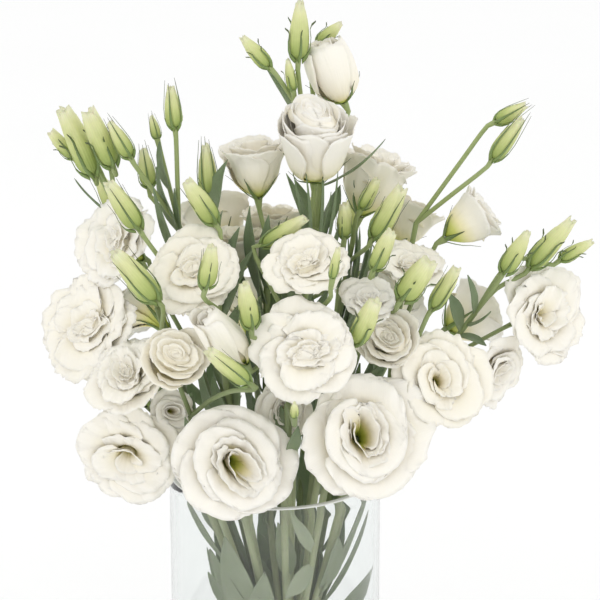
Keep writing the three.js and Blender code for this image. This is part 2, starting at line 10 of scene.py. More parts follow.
import bpy
import numpy as np
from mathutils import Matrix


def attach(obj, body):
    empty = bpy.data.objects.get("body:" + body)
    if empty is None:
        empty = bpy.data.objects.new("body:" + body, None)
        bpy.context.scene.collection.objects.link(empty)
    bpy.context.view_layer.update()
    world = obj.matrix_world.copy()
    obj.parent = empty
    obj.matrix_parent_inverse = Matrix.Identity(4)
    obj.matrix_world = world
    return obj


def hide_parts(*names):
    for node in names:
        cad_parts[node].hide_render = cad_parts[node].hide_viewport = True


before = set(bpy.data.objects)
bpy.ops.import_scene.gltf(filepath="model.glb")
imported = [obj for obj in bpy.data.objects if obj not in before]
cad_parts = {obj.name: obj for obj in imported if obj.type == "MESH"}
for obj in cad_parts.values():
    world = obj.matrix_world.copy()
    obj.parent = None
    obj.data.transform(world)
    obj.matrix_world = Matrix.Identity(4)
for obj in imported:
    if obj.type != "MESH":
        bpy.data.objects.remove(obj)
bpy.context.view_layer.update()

MM = 0.001
TURN = 2 * math.pi
TINY = 1e-9  # keeps a division away from zero
print("nodes in the frame:", len(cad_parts))

# %% [markdown]
# ## The camera
# The photograph looks a little down on the bunch from far away. A short lens close by would show the
# same flowers, but it would swell the nearest ones, so the lens is long. The camera comes first, because
# everything later is judged through it.

# %% The camera
LOOKS_DOWN = 18
camera_data = bpy.data.cameras.new("camera")
camera_data.lens = 150
camera_data.sensor_width = 36
camera = bpy.data.objects.new("camera", camera_data)
camera.location = (0.01505, -1.40009, 0.81126)
camera.rotation_euler = (math.radians(90 - LOOKS_DOWN), 0, 0)
bpy.context.scene.collection.objects.link(camera)
bpy.context.scene.camera = camera
print("camera: lens", camera_data.lens, "mm, looks down by", LOOKS_DOWN, "degrees")

# %% [markdown]
# ## The flowers and their places
# The bunch holds 32 white flowers, from buds that just open to blooms that lie wide open. They could be
# moved about by hand, but a table keeps them where the CAD model has them. One row is one flower, in
# millimetres: the centre of its rim, the way it faces, the radius of the rim, the depth down to the
# calyx, and the form of its solid. The last numbers are only for looks: how ruffled the petals are, how
# creamy, and where the throat opens beside the middle of the flower.

# %% Places of the flowers
BLOOMS = {
    "front_left": ((-23, -80, 286), (0.12, -0.93, 0.33), 34, 34, "open", 0.8, 0.15, (0.26, -0.16)),
    "front_right": ((53, -82, 303), (0.15, -0.9, 0.42), 37, 36, "open", 1.1, 0.2, (0.0, 0.06)),
    "centre_front": ((17, -90, 357), (-0.05, -0.85, 0.5), 29, 30, "open", 1.2, 0.25, (0.1, -0.05)),
    "centre_rose": ((18, -55, 399), (0, -0.55, 0.83), 25, 30, "rose", 1.0, 0.45, (0, 0)),
    "top_rose": ((23, -9, 472), (0, -0.3, 0.95), 23, 47, "rose", 0.7, 0.1, (0, 0)),
    "top_bud": ((27, 25, 505), (-0.36, 0, 0.93), 13, 38, "closed", 0.5, 0.35, (0, 0)),
    "top_left": ((-13, 17, 449), (-0.1, 0.05, 1), 20, 35, "cup", 0.9, 0.3, (0, 0)),
    "top_right": ((63, 30, 439), (0.3, 0.1, 0.94), 23, 41, "cup", 1.2, 0.35, (0, 0)),
    "back_right": ((84, 55, 401), (0.4, 0.3, 0.85), 17, 30, "cup", 0.9, 0.3, (0, 0)),
    "far_right_high": ((127, 20, 407), (0.8, 0.1, 0.55), 18, 32, "cup", 0.6, 0.1, (0, 0)),
    "left_high": ((-95, -5, 395), (-0.55, -0.6, 0.55), 26, 30, "open", 1.3, 0.2, (0, 0)),
    "left_middle": ((-46, -50, 391), (-0.05, -0.78, 0.6), 27, 30, "open", 1.2, 0.5, (0, 0.1)),
    "back_left_small": ((-22, 20, 394), (-0.05, 0, 1), 14, 26, "cup", 0.8, 0.6, (0, 0)),
    "back_centre": ((0, 47, 400), (0, 0.15, 1), 17, 28, "cup", 0.9, 0.5, (0, 0)),
    "left_ruffled": ((-111, -18, 346), (-0.55, -0.72, 0.4), 30, 30, "open", 1.4, 0.3, (0, 0)),
    "left_cup": ((-86, -57, 334), (-0.35, -0.5, 0.8), 22, 36, "cup", 1.2, 0.3, (0, 0)),
    "small_rose": ((-54, -82, 352), (0.1, -0.8, 0.6), 18, 26, "rose", 0.9, 0.55, (0, 0)),
    "white_bud": ((-39, -88, 377), (-0.55, -0.33, 0.8), 11, 44, "closed", 0.4, 0.35, (0, 0)),
    "left_nodding": ((-86, -52, 279), (-0.08, -0.97, 0.05), 29, 28, "open", 0.9, 0.2, (0, -0.2)),
    "right_open": ((96, -57, 327), (0.15, -0.85, 0.4), 24, 32, "cup", 1.0, 0.45, (0, 0)),
    "right_low": ((136, -17, 315), (0.6, -0.5, -0.1), 20, 26, "cup", 0.9, 0.2, (0, 0)),
    "right_far": ((162, -3, 350), (0.55, -0.7, 0.45), 27, 32, "open", 1.2, 0.25, (0, 0)),
    "right_back": ((79, -16, 387), (0.2, -0.3, 0.9), 20, 28, "cup", 1.2, 0.35, (0, 0)),
    "right_middle": ((54, -50, 375), (0.1, -0.5, 0.85), 14, 24, "cup", 1.4, 0.1, (0, 0)),
    "right_cream": ((65, -52, 352), (-0.1, -0.7, 0.6), 13, 22, "rose", 1.3, 0.4, (0, 0)),
    "under_centre": ((6, -52, 306), (0.1, -0.8, 0.3), 13, 22, "cup", 0.9, 0.2, (0, 0)),
    "under_left": ((-58, -44, 303), (0.2, -0.8, 0.3), 10.5, 18, "cup", 0.9, 0.1, (0, 0)),
    "rear_left": ((-85, 70, 335), (-0.6, 0.65, 0.45), 28, 32, "open", 1.2, 0.2, (0, 0)),
    "rear_middle": ((-15, 100, 320), (0, 0.9, 0.4), 30, 34, "open", 1.0, 0.2, (0.1, 0)),
    "rear_right": ((68, 88, 333), (0.35, 0.85, 0.45), 28, 32, "open", 1.2, 0.2, (0, 0.1)),
    "rear_far_right": ((128, 55, 335), (0.8, 0.5, 0.35), 24, 30, "cup", 1.0, 0.1, (0, 0)),
    "rear_high": ((-42, 66, 395), (-0.25, 0.6, 0.75), 24, 30, "cup", 1.1, 0.3, (0, 0)),
}
print("flowers:", len(BLOOMS))

# %% [markdown]
# ## The stems and what they carry
# A stem passes the mouth of the vase, forks, and ends in flowers and buds. One row is one stem, in
# millimetres again, and for the same reason. `twigs` are side branches with their own buds. A bud is its
# seat, its tip and its half thickness. A leaf is the number of the branch it grows on, the height where
# it grows, its tip and its half width. Many of the thin leaves fill gaps between the flowers, and the CAD
# model leaves those to this lesson.

# %% Places of the stems
SPRAYS = {
    "right_far": dict(
        mouth=(49, -4), fork=(96, -4, 318), blooms=["right_far", "right_low"],
        twigs=[((118, -5, 350), [((134, -10, 377), (147, -10, 401), 5.6),
                                 ((151, 2, 377), (174, 2, 405), 6.2),
                                 ((169, 8, 379), (187, 8, 390), 4)])],
        leaves=[(0, 136, (58, -14, 192), 9), (0, 180, (57, -8, 246), 2.6), (0, 160, (57, 2, 222), 3),
                (1, 338, (101, -14, 366), 5), (1, 343, (126, -20, 356), 4),
                (1, 349, (112, -20, 378), 3), (1, 336, (124, -18, 334), 3.6)]),
    "right_front": dict(
        mouth=(43, -25), fork=(66, -34, 300), blooms=["right_open", "right_cream"],
        buds=[((91, -43, 366), (104, -45, 390), 5)],
        leaves=[(0, 178, (37, -37, 222), 6), (0, 172, (52, -24, 240), 2.6),
                (0, 262, (54, -32, 318), 6)]),
    "front_right": dict(
        mouth=(29, -41), fork=(34, -48, 276), blooms=["front_right"],
        buds=[((46, -76, 356), (57, -80, 382), 6)],
        leaves=[(0, 200, (6, -46, 186), 6), (0, 208, (9, -40, 238), 4)]),
    "front_centre": dict(
        mouth=(6, -50), fork=(8, -56, 312), blooms=["centre_front"],
        buds=[((12, -114, 326), (12, -119, 336), 2.4)]),
    "front_left": dict(
        mouth=(-20, -45), fork=(-24, -46, 262), blooms=["front_left", "under_centre"],
        leaves=[(0, 140, (-29, -38, 222), 11.5), (0, 150, (-6, -44, 202), 9)]),
    "front_far_left": dict(
        mouth=(-37, -33), fork=(-48, -44, 300), blooms=["small_rose"],
        buds=[((-14, -100, 341), (-35, -108, 362), 5)],
        leaves=[(0, 146, (-38, -33, 212), 7)]),
    "left_low": dict(
        mouth=(-47, -16), fork=(-58, -20, 268), blooms=["left_nodding", "under_left"],
        leaves=[(0, 146, (-40, -17, 190), 6), (0, 190, (-56, -12, 246), 2.6)]),
    "left": dict(
        mouth=(-50, 4), fork=(-68, -2, 300), blooms=["left_ruffled", "left_cup"],
        buds=[((-66, -68, 379), (-88, -70, 407), 7)],
        leaves=[(0, 148, (-42, 6, 196), 6)]),
    "left_high": dict(
        mouth=(-44, 23), fork=(-70, 20, 345), blooms=["left_high"],
        twigs=[((-92, 14, 405), [((-106, 12, 430), (-122, 12, 469), 7),
                                 ((-94, 2, 438), (-107, 0, 471), 6.5),
                                 ((-118, 20, 438), (-131, 22, 453), 4)])],
        leaves=[(0, 146, (-38, 24, 196), 7), (1, 402, (-118, 24, 424), 2.2)]),
    "rear_left": dict(
        mouth=(-33, 38), fork=(-46, 44, 300), blooms=["rear_left", "rear_high"],
        buds=[((-96, 58, 392), (-108, 62, 418), 5.5)],
        leaves=[(0, 156, (-35, 41, 220), 8)]),
    "rear_middle": dict(
        mouth=(-9, 49), fork=(-12, 55, 290), blooms=["rear_middle"],
        buds=[((14, 98, 362), (20, 104, 390), 5.5)],
        leaves=[(0, 146, (-8, 52, 212), 8)]),
    "rear_right": dict(
        mouth=(18, 46), fork=(34, 52, 295), blooms=["rear_right"],
        buds=[((44, 92, 372), (52, 98, 398), 5.5)],
        leaves=[(0, 158, (20, 50, 226), 8)]),
    "rear_far_right": dict(
        mouth=(40, 29), fork=(70, 34, 310), blooms=["rear_far_right", "far_right_high"],
        twigs=[((84, 26, 396), [((130, 22, 459), (147, 22, 469), 4.6),
                                ((128, 14, 439), (144, 12, 463), 5.2)])],
        leaves=[(0, 148, (43, 32, 214), 7), (0, 186, (54, 14, 247), 3), (0, 262, (62, 24, 322), 7)]),
    "middle_left": dict(
        mouth=(-20, -18), fork=(-32, -22, 340), blooms=["left_middle"],
        buds=[((-77, -38, 412), (-93, -40, 439), 6), ((-34, -34, 414), (-49, -34, 438), 6),
              ((-37, -86, 392), (-33, -88, 416), 5.2)],
        leaves=[(0, 262, (-36, -16, 314), 7), (0, 282, (-22, -12, 332), 6)]),
    "left_top": dict(
        mouth=(-24, 7), fork=(-38, 10, 345), blooms=["back_left_small"],
        twigs=[((-56, 8, 400), [((-57, 0, 461), (-59, 0, 485), 5),
                                ((-68, 10, 452), (-71, 10, 465), 3),
                                ((-83, -5, 445), (-94, -5, 465), 4.8),
                                ((-74, 22, 420), (-77, 22, 442), 5)])],
        buds=[((-38, 12, 418), (-40, 12, 447), 5.6)],
        leaves=[(0, 262, (-46, 8, 322), 7), (0, 296, (-34, 0, 352), 6), (0, 330, (-26, 4, 384), 5),
                (1, 392, (-68, 2, 437), 5), (0, 384, (-70, -6, 428), 5), (0, 380, (-58, 2, 424), 4.5),
                (7, 388, (-27, 2, 441), 8), (4, 420, (-66, 2, 452), 4.5), (0, 336, (-20, -10, 404), 6),
                (0, 340, (-30, -4, 412), 6), (0, 330, (-12, -14, 392), 5)]),
    "top_left": dict(
        mouth=(-6, 8), fork=(-4, 8, 390), blooms=["top_left"],
        leaves=[(0, 262, (-16, 2, 322), 7), (0, 292, (-16, 2, 342), 5.5), (0, 320, (-22, 6, 378), 5.5),
                (0, 336, (-6, 0, 392), 5), (0, 350, (-14, -8, 416), 6), (0, 360, (-3, -12, 412), 5),
                (0, 342, (-26, -8, 396), 6)]),
    "centre": dict(
        mouth=(8, -24), fork=(10, -34, 350), blooms=["centre_rose", "white_bud"],
        buds=[((-12, -84, 368), (-16, -86, 394), 5.4), ((-6, -24, 398), (18, -26, 414), 5),
              ((33, -86, 397), (36, -88, 415), 2.6)],
        leaves=[(0, 185, (2, -26, 226), 6), (0, 264, (0, -26, 320), 6), (0, 290, (-4, -22, 340), 6),
                (0, 310, (26, -26, 352), 5)]),
    "top": dict(
        mouth=(11, -3), fork=(22, 2, 400), blooms=["top_rose"],
        buds=[((41, -2, 396), (41, -3, 416), 4.4)],
        leaves=[(0, 392, (7, -2, 434), 3.2), (0, 300, (24, 2, 350), 6), (0, 340, (4, 2, 386), 5),
                (0, 366, (15, -8, 420), 2.6), (0, 372, (33, -6, 424), 2.6), (0, 360, (40, -4, 412), 3),
                (0, 350, (11, -8, 436), 1.5), (0, 350, (18, -10, 440), 1.4), (0, 352, (28, -8, 444), 1.5),
                (0, 350, (37, -6, 438), 1.5)]),
    "top_right": dict(
        mouth=(10, 15), fork=(28, 22, 430), blooms=["top_bud"],
        twigs=[((17, 18, 464), [((14, 15, 498), (15, 15, 531), 6),
                                ((-3, 8, 495), (-18, 8, 512), 4.6),
                                ((11, 12, 480), (8, 12, 498), 3.2)])],
        buds=[((26, 38, 502), (39, 38, 514), 4.2)],
        leaves=[(0, 420, (64, -8, 456), 3.4), (1, 452, (-4, 14, 492), 3)]),
    "right_top": dict(
        mouth=(24, 8), fork=(44, 16, 375), blooms=["top_right"],
        buds=[((58, -12, 399), (74, -14, 429), 6.4), ((51, 2, 412), (60, 1, 430), 4)],
        leaves=[(0, 280, (30, 6, 340), 6), (0, 310, (44, 8, 366), 6), (0, 330, (43, 6, 396), 2.2),
                (0, 326, (50, 4, 400), 2.6), (0, 322, (58, 2, 398), 2.4), (0, 300, (52, 2, 372), 4),
                (0, 318, (48, 10, 404), 5), (0, 330, (56, 10, 398), 4.5)]),
    "right_middle": dict(
        mouth=(26, -13), fork=(52, -22, 342), blooms=["right_back", "right_middle"],
        buds=[((73, -60, 377), (88, -62, 400), 7), ((57, -58, 394), (66, -60, 416), 5)],
        leaves=[(0, 262, (50, -20, 324), 6), (0, 280, (58, -22, 330), 6), (0, 300, (68, -24, 332), 5)]),
    "back": dict(
        mouth=(4, 29), fork=(14, 40, 340), blooms=["back_centre", "back_right"],
        leaves=[(0, 262, (6, 26, 322), 8), (0, 290, (-14, 26, 346), 8), (0, 300, (22, 24, 352), 7),
                (0, 318, (2, 24, 376), 7)]),
}
print("stems:", len(SPRAYS))

# %% [markdown]
# ## How a stem grows
# A real stem stands upright in the water, leans on the rim and then bends up to the light. It could be
# drawn by hand, but then it would miss its solid. So each branch is worked out as in the CAD source: a
# curve with two handles, which leaves its fork smoothly and meets its flower along the flower's own axis.

# %% Sizes of the vase and the stems
VASE_RADIUS, VASE_HEIGHT, VASE_WALL, VASE_FLOOR = 63.5, 250, 3.5, 9
SEAT_GAP = 0.35  # between a flower and its calyx, and between the water and the glass
GATHER, GATHER_SHIFT = 0.36, 5  # the feet stand closer together than at the rim, and more to the right
GATHER_HEIGHT = 138  # up to here a stem stands upright
BOW = 0.04  # how far a stem bows inwards between there and the rim
MAIN_STEM, TWIG, PEDICEL = 2.1, 1.6, 1.4  # half thicknesses
RECEPTACLE, BUD_SEAT = 2.6, 1.8  # half thicknesses under a flower and under a bud
STEM_SPACING, PEDICEL_SPACING = 38, 26  # between two points of a path
APPROACH = 7  # the straight end of a branch, under its flower or bud
HANDLE = 0.35  # the length of a curve's handles, as a share of its reach
STEM_RISE, TWIG_RISE = 30, 20  # how far a fork is turned upwards
CURVE_STEPS = 201  # the points that measure the length of a curve
print("vase:", 2 * VASE_RADIUS, "mm wide and", VASE_HEIGHT, "mm high")

# %% [markdown]
# A stem never turns in a sharp corner, so every branch is a smooth curve between two ends, and leaves or
# meets each end along the direction that the plant has there. A Bezier curve does that with two handles.

# %% Smooth bends
def unit(v):
    return v / np.linalg.norm(v)


def bend(start, leaving, end, arriving, spacing):
    """Points along a smooth bend, each end left or met along its own direction."""
    reach = np.linalg.norm(end - start)
    corners = [start, start + leaving * reach * HANDLE, end - arriving * reach * HANDLE, end]

    def at(t):
        t = np.asarray(t)[:, None]
        shares = [(1 - t) ** 3, 3 * (1 - t) ** 2 * t, 3 * (1 - t) * t ** 2, t ** 3]
        return sum(share * corner for share, corner in zip(shares, corners))

    steps = np.linspace(0, 1, CURVE_STEPS)
    lengths = np.concatenate([[0], np.cumsum(np.linalg.norm(np.diff(at(steps), axis=0), axis=1))])
    count = max(2, math.floor(lengths[-1] / spacing + 0.5))
    return at(np.interp(np.linspace(0, lengths[-1], count + 1), lengths, steps))


across_x, up_z = np.array([1.0, 0, 0]), np.array([0, 0, 1.0])
print("points of a test bend:", len(bend(np.zeros(3), up_z, across_x * 60, across_x, STEM_SPACING)))

# %% [markdown]
# Each stem grows in the same order: its own way from the vase's floor to its fork, then the twigs, and
# from there one branch to each flower and bud.

# %% Growing the branches
def bloom_axis(name):
    return unit(np.array(BLOOMS[name][1], float))


def bloom_seat(name):
    return np.array(BLOOMS[name][0], float) - bloom_axis(name) * BLOOMS[name][3]


def leaving_of(branch):
    return unit(branch["points"][-1] - branch["points"][-2])


def head_branch(origin, seat, axis, head):
    """A branch from the end of another to a flower or a bud. Its first point and last two are held."""
    below = seat - axis * APPROACH
    path = bend(origin["points"][-1], leaving_of(origin), below, axis, PEDICEL_SPACING)
    return dict(points=np.vstack([path, seat]), radius=PEDICEL, held=1, approach=2, head=head)


def bud_branches(buds, origin):
    rows = [(np.array(seat, float), np.array(tip, float)) for seat, tip, _ in buds]
    return [head_branch(origin, seat, unit(tip - seat), "bud") for seat, tip in rows]


def grow(spray):
    """Every branch of one stem, in the order stem, twigs, flowers, buds of twigs, buds."""
    x, y = spray["mouth"]
    foot = np.array([x * GATHER + GATHER_SHIFT, y * GATHER, VASE_FLOOR + SEAT_GAP])
    knee = np.array([foot[0], foot[1], GATHER_HEIGHT])
    mouth = np.array([x, y, VASE_HEIGHT], float)
    middle = (knee + mouth) / 2 - BOW * np.array([x, y, 0])
    fork = np.array(spray["fork"], float)
    arriving = unit(fork - mouth + (0, 0, STEM_RISE))
    upper = bend(mouth, unit(mouth - middle), fork, arriving, STEM_SPACING)
    main = dict(points=np.vstack([foot, knee, middle, upper]), radius=MAIN_STEM, held=4, approach=1)
    twigs, twig_buds = [], []
    for end, buds in spray.get("twigs", []):
        end = np.array(end, float)
        arriving = unit(end - fork + (0, 0, TWIG_RISE))
        path = bend(fork, leaving_of(main), end, arriving, PEDICEL_SPACING)
        twigs.append(dict(points=path, radius=TWIG, held=1, approach=1))
        twig_buds += bud_branches(buds, twigs[-1])
    flowers = [head_branch(main, bloom_seat(n), bloom_axis(n), n) for n in spray["blooms"]]
    return [main, *twigs, *flowers, *twig_buds, *bud_branches(spray.get("buds", []), main)]


def buds_of(spray):
    return [bud for _, buds in spray.get("twigs", []) for bud in buds] + list(spray.get("buds", []))


grown = {name: grow(spray) for name, spray in SPRAYS.items()}
print("branches:", sum(len(branches) for branches in grown.values()))

# %% [markdown]
# ## Bending the stems clear of one another
# In a full vase every stem gives way a little. Physics could do that, but it would not end on the CAD
# solids. So the CAD source's rule is used: at each pass, two branches that come too close push each other
# apart, and a branch inside a flower's outline is pushed out. The outlines come first, as heights and
# radii in shares of a flower's depth and radius.

# %% Out of a flower's outline
CLEARANCE = 1.3  # the room to keep beside a branch, in mm
OUTLINES = {
    "open": ([0, 0.42, 0.93, 1.04], [0.12, 0.36, 1.04, 1.04]),
    "cup": ([0, 0.36, 0.95, 1.04], [0.18, 0.66, 1.04, 1.04]),
    "rose": ([0, 0.36, 0.88, 1.04], [0.18, 0.8, 1.04, 1.04]),
    "closed": ([0, 0.24, 0.56, 1.04], [0.28, 0.9, 1.04, 0.7]),
}


def ways_out(points, name, margins):
    """The shortest way out of a flower's outline for each point, zero for those outside it."""
    _, _, radius, depth, form = BLOOMS[name][:5]
    axis, out = bloom_axis(name), points - bloom_seat(name)
    height, top = out @ axis, depth * OUTLINES[form][0][-1]
    side = out - height[:, None] * axis
    reach = np.linalg.norm(side, axis=1)
    inside = np.interp(height / depth, *OUTLINES[form]) * radius + margins - reach
    hit = (height >= -margins) & (height <= top + margins) & (inside > 0)
    below, above = height + margins, top + margins - height
    down = (below < inside) & (below < above)
    up = ~down & (above < inside)
    moves = side / np.maximum(reach, TINY)[:, None] * inside[:, None]
    moves[down] = -axis * below[down, None]
    moves[up] = axis * above[up, None]
    return np.where(hit[:, None], moves, 0)


print("outlines:", list(OUTLINES))

# %% [markdown]
# All pairs of branches are measured at once with numpy arrays, which is far quicker than a loop over
# them. Two straight pieces of branches are nearest at one share of each, and only pairs of different
# stems that start out near each other are looked at.

# %% Gaps between branches
NEAR = 45  # pieces further apart than this at the start, in mm, are never compared


def closest(low_a, high_a, low_b, high_b):
    """Shares along two sets of straight pieces where they come nearest, and the gap there."""
    dot = lambda first, second: np.einsum("ij,ij->i", first, second)
    way_a, way_b, apart = high_a - low_a, high_b - low_b, low_a - low_b
    aa, bb, ab = dot(way_a, way_a), dot(way_b, way_b), dot(way_a, way_b)
    along_a, along_b = dot(way_a, apart), dot(way_b, apart)
    under = aa * bb - ab * ab
    slanted = under > TINY
    s = np.where(slanted, np.clip((ab * along_b - along_a * bb) / np.where(slanted, under, 1), 0, 1), 0)
    t = np.clip((ab * s + along_b) / bb, 0, 1)
    s = np.clip((ab * t - along_a) / aa, 0, 1)
    return s, t, low_a + way_a * s[:, None] - low_b - way_b * t[:, None]


def part(gap, need):
    """The push that brings each gap to the length it needs, zero where it is long enough."""
    distance = np.linalg.norm(gap, axis=1)
    hit = (distance < need) & (distance >= TINY)
    return gap * np.where(hit, (need - distance) / np.maximum(distance, TINY), 0)[:, None]


def near_pairs(low, high, stem, other_low, other_high, other_stem):
    """The pairs of pieces from two lists that lie near each other and aren't of one stem."""
    middle, half = (low + high) / 2, np.linalg.norm(high - low, axis=1) / 2
    other_middle = (other_low + other_high) / 2
    other_half = np.linalg.norm(other_high - other_low, axis=1) / 2
    far = np.linalg.norm(middle[:, None] - other_middle[None], axis=2)
    near = far < half[:, None] + other_half[None] + NEAR
    return np.nonzero(near & (stem[:, None] != other_stem[None]))


print("a gap of 2 mm that has to be 5 mm is pushed by:", part(np.array([[2.0, 0, 0]]), 5)[0].tolist())

# %% [markdown]
# For that the branches are laid out as arrays: all points under one another, and for each straight piece
# its first point, its radius, its stem and the flower it ends at.

# %% Branches and buds as arrays
BUD_ROOM = 1.2  # a bud with its sepals is this much thicker than the bud alone


def pieces_of(grown):
    """All branches, their points, and the straight pieces and free points among them."""
    rows = [(number, branch) for number, branches in enumerate(grown.values()) for branch in branches]
    spots = np.vstack([branch["points"] for _, branch in rows])
    first, radius, stem, head, free, index = [], [], [], [], [], 0
    for number, branch in rows:
        count = len(branch["points"])
        first += range(index, index + count - 1)
        radius += [branch["radius"]] * (count - 1)
        stem += [number] * (count - 1)
        head += [branch.get("head") or ""] * (count - 1)
        free += range(index + branch["held"], index + count - branch["approach"])
        index += count
    return rows, spots, *map(np.array, (first, radius, stem, head, free))


def bud_pieces():
    """The seats, tips, radii and stems of all buds."""
    buds = [(n, *bud) for n, row in enumerate(SPRAYS.values()) for bud in buds_of(row)]
    low, high = (np.array([bud[k] for bud in buds], float) for k in (1, 2))
    return low, high, np.array([bud[3] * BUD_ROOM for bud in buds]), np.array([bud[0] for bud in buds])


print("straight pieces:", len(pieces_of(grown)[2]), "and buds:", len(bud_pieces()[0]))

# %% [markdown]
# Now the passes. The held ends of each branch stay where they are. In the first passes every path is also
# eased a little towards a straight line, so that no sharp bends are left.

# %% Bending clear
PASSES, LONGEST_MOVE = 90, 4
EASE, EASED_SHARE = 0.3, 0.7  # how strongly paths are smoothed, and for which share of the passes
HALF_EACH = 0.5  # the share of a missing gap by which each of two branches gives way in a pass
NEARLY_ALL = 0.9  # the same for a branch beside a bud, which doesn't give way
TRIED = np.array([0.25, 0.5, 0.75, 1])  # the places along a piece that are held against a flower


def bend_clear(grown):
    """Moves the free points of all branches until they keep clear of one another."""
    rows, spots, first, radius, stem, head, free = pieces_of(grown)
    bud_low, bud_high, bud_radius, bud_stem = bud_pieces()
    low, high = spots[first], spots[first + 1]
    i, j = near_pairs(low, high, stem, low, high, stem)
    i, j = i[i < j], j[i < j]
    k, m = near_pairs(low, high, stem, bud_low, bud_high, bud_stem)
    for step in range(PASSES):
        ease = EASE * max(0, 1 - step / (PASSES * EASED_SHARE))
        moves = np.zeros_like(spots)

        def press(segments, share, move):
            np.add.at(moves, first[segments], move * (1 - share)[:, None])
            np.add.at(moves, first[segments] + 1, move * share[:, None])

        low, high = spots[first], spots[first + 1]
        s, t, gap = closest(low[i], high[i], low[j], high[j])
        push = part(gap, radius[i] + radius[j] + CLEARANCE)
        press(i, s, push * HALF_EACH)
        press(j, t, push * -HALF_EACH)
        s, _, gap = closest(low[k], high[k], bud_low[m], bud_high[m])
        press(k, s, part(gap, radius[k] + bud_radius[m] + CLEARANCE) * NEARLY_ALL)
        for name in BLOOMS:
            others = np.nonzero(head != name)[0]
            segments, share = np.repeat(others, len(TRIED)), np.tile(TRIED, len(others))
            points = low[segments] + (high[segments] - low[segments]) * share[:, None]
            out = ways_out(points, name, radius[segments] + CLEARANCE)
            press(segments, share, out * HALF_EACH)
        size = np.linalg.norm(moves, axis=1, keepdims=True)
        moves *= np.minimum(1, LONGEST_MOVE / np.maximum(size, TINY))
        eased = spots[free] + ((spots[free - 1] + spots[free + 1]) / 2 - spots[free]) * ease
        spots[free] = eased + moves[free]
    index = 0
    for _, branch in rows:
        branch["points"] = spots[index:index + len(branch["points"])]
        index += len(branch["points"])


bend_clear(grown)
print("stems bent clear of one another in", PASSES, "passes")

# %% [markdown]
# ## Helpers for meshes
# A petal or a leaf could be modelled by hand, but there are hundreds of them and each differs, so they are
# worked out as arrays of points. `mesh_object` turns such an array into an object at the origin, with its
# place in its mesh, as the CAD solids have it. It carries named numbers at its points, such as how far
# along a petal a point is; the materials read them to colour a petal from its green base to its white
# edge.

# %% Objects from arrays
def mesh_object(name, points, edges, faces, numbers):
    """An object at the origin from points in metres, with named numbers at its points."""
    mesh = bpy.data.meshes.new(name)
    mesh.from_pydata(np.asarray(points).tolist(), edges, faces)
    for key, values in numbers.items():
        values = np.asarray(values, "f")
        kind, field = ("FLOAT", "value") if values.ndim == 1 else ("FLOAT_VECTOR", "vector")
        mesh.attributes.new(key, kind, "POINT").data.foreach_set(field, values.ravel())
    piece = bpy.data.objects.new(name, mesh)
    bpy.context.scene.collection.objects.link(piece)
    return piece


def smooth_piece(name, points, faces, material, numbers):
    """A smooth piece in its finish, from points in millimetres."""
    piece = mesh_object(name, np.asarray(points) * MM, [], faces, numbers)
    piece.data.shade_smooth()
    piece.data.materials.append(material)
    return piece


def finish_piece(piece, node):
    """Lets a piece stand in for a CAD node, on the one body of the bunch."""
    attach(piece, "root")
    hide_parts(node)


def joined(parts):
    """Several (points, faces, numbers) made one, with the faces renumbered."""
    points, faces, shift = [], [], 0
    for part in parts:
        points.append(part[0])
        faces.append(part[1] + shift)
        shift += len(part[0])
    numbers = {key: np.concatenate([part[2][key] for part in parts]) for key in parts[0][2]}
    return np.vstack(points), np.vstack(faces).tolist(), numbers


print("ready to make pieces on the body root")

# %% [markdown]
# Two shapes return all the time: a smooth path through a few corners, and a thin sheet. A sheet could get
# its thickness from a Solidify modifier. Here both skins are worked out at once, because a petal is thick
# at its base and thin at its edge.

# %% Paths and sheets
STEPS_BETWEEN_CORNERS = 12


def along_path(corners, count):
    """Points evenly spaced on a smooth curve through a few corners, in any number of dimensions."""
    corners = np.asarray(corners, float)
    padded = np.vstack([2 * corners[0] - corners[1], corners, 2 * corners[-1] - corners[-2]])
    t = np.linspace(0, 1, STEPS_BETWEEN_CORNERS + 1)[:-1, None]
    fine = []
    for p0, p1, p2, p3 in zip(padded, padded[1:], padded[2:], padded[3:]):
        fine.append(0.5 * (2 * p1 + (p2 - p0) * t + (2 * p0 - 5 * p1 + 4 * p2 - p3) * t ** 2
                           + (3 * p1 - p0 - 3 * p2 + p3) * t ** 3))
    fine = np.vstack([*fine, corners[-1:]])
    lengths = np.concatenate([[0], np.cumsum(np.linalg.norm(np.diff(fine, axis=0), axis=1))])
    places = np.linspace(0, lengths[-1], count)
    return np.stack([np.interp(places, lengths, fine[:, k]) for k in range(fine.shape[1])], axis=1)


def sheet_of(grid, thickness, along, across, extra):
    """A thin closed sheet about a grid of points: two skins and the rim that joins them."""
    rows, columns = grid.shape[:2]
    normal = np.cross(np.gradient(grid, axis=1), np.gradient(grid, axis=0))
    normal /= np.maximum(np.linalg.norm(normal, axis=2, keepdims=True), TINY)
    half = np.broadcast_to(thickness, (rows, columns))[..., None] / 2
    points = np.concatenate([(grid + normal * half).reshape(-1, 3), (grid - normal * half).reshape(-1, 3)])
    at = np.arange(rows * columns).reshape(rows, columns)
    a, b, c, d = at[:-1, :-1], at[:-1, 1:], at[1:, 1:], at[1:, :-1]
    skin = np.stack([a, b, c, d], axis=-1).reshape(-1, 4)
    rim = np.concatenate([at[0, :-1], at[:-1, -1], at[-1, :0:-1], at[:0:-1, 0]])
    after = np.roll(rim, -1)
    back = rows * columns
    faces = np.vstack([
        skin, skin[:, ::-1] + back, np.stack([after, rim, rim + back, after + back], axis=-1)])
    numbers = {"along": np.tile(along.ravel(), 2), "across": np.tile(across.ravel(), 2)}
    numbers.update({key: np.full(2 * back, value) for key, value in extra.items()})
    return points, faces, numbers


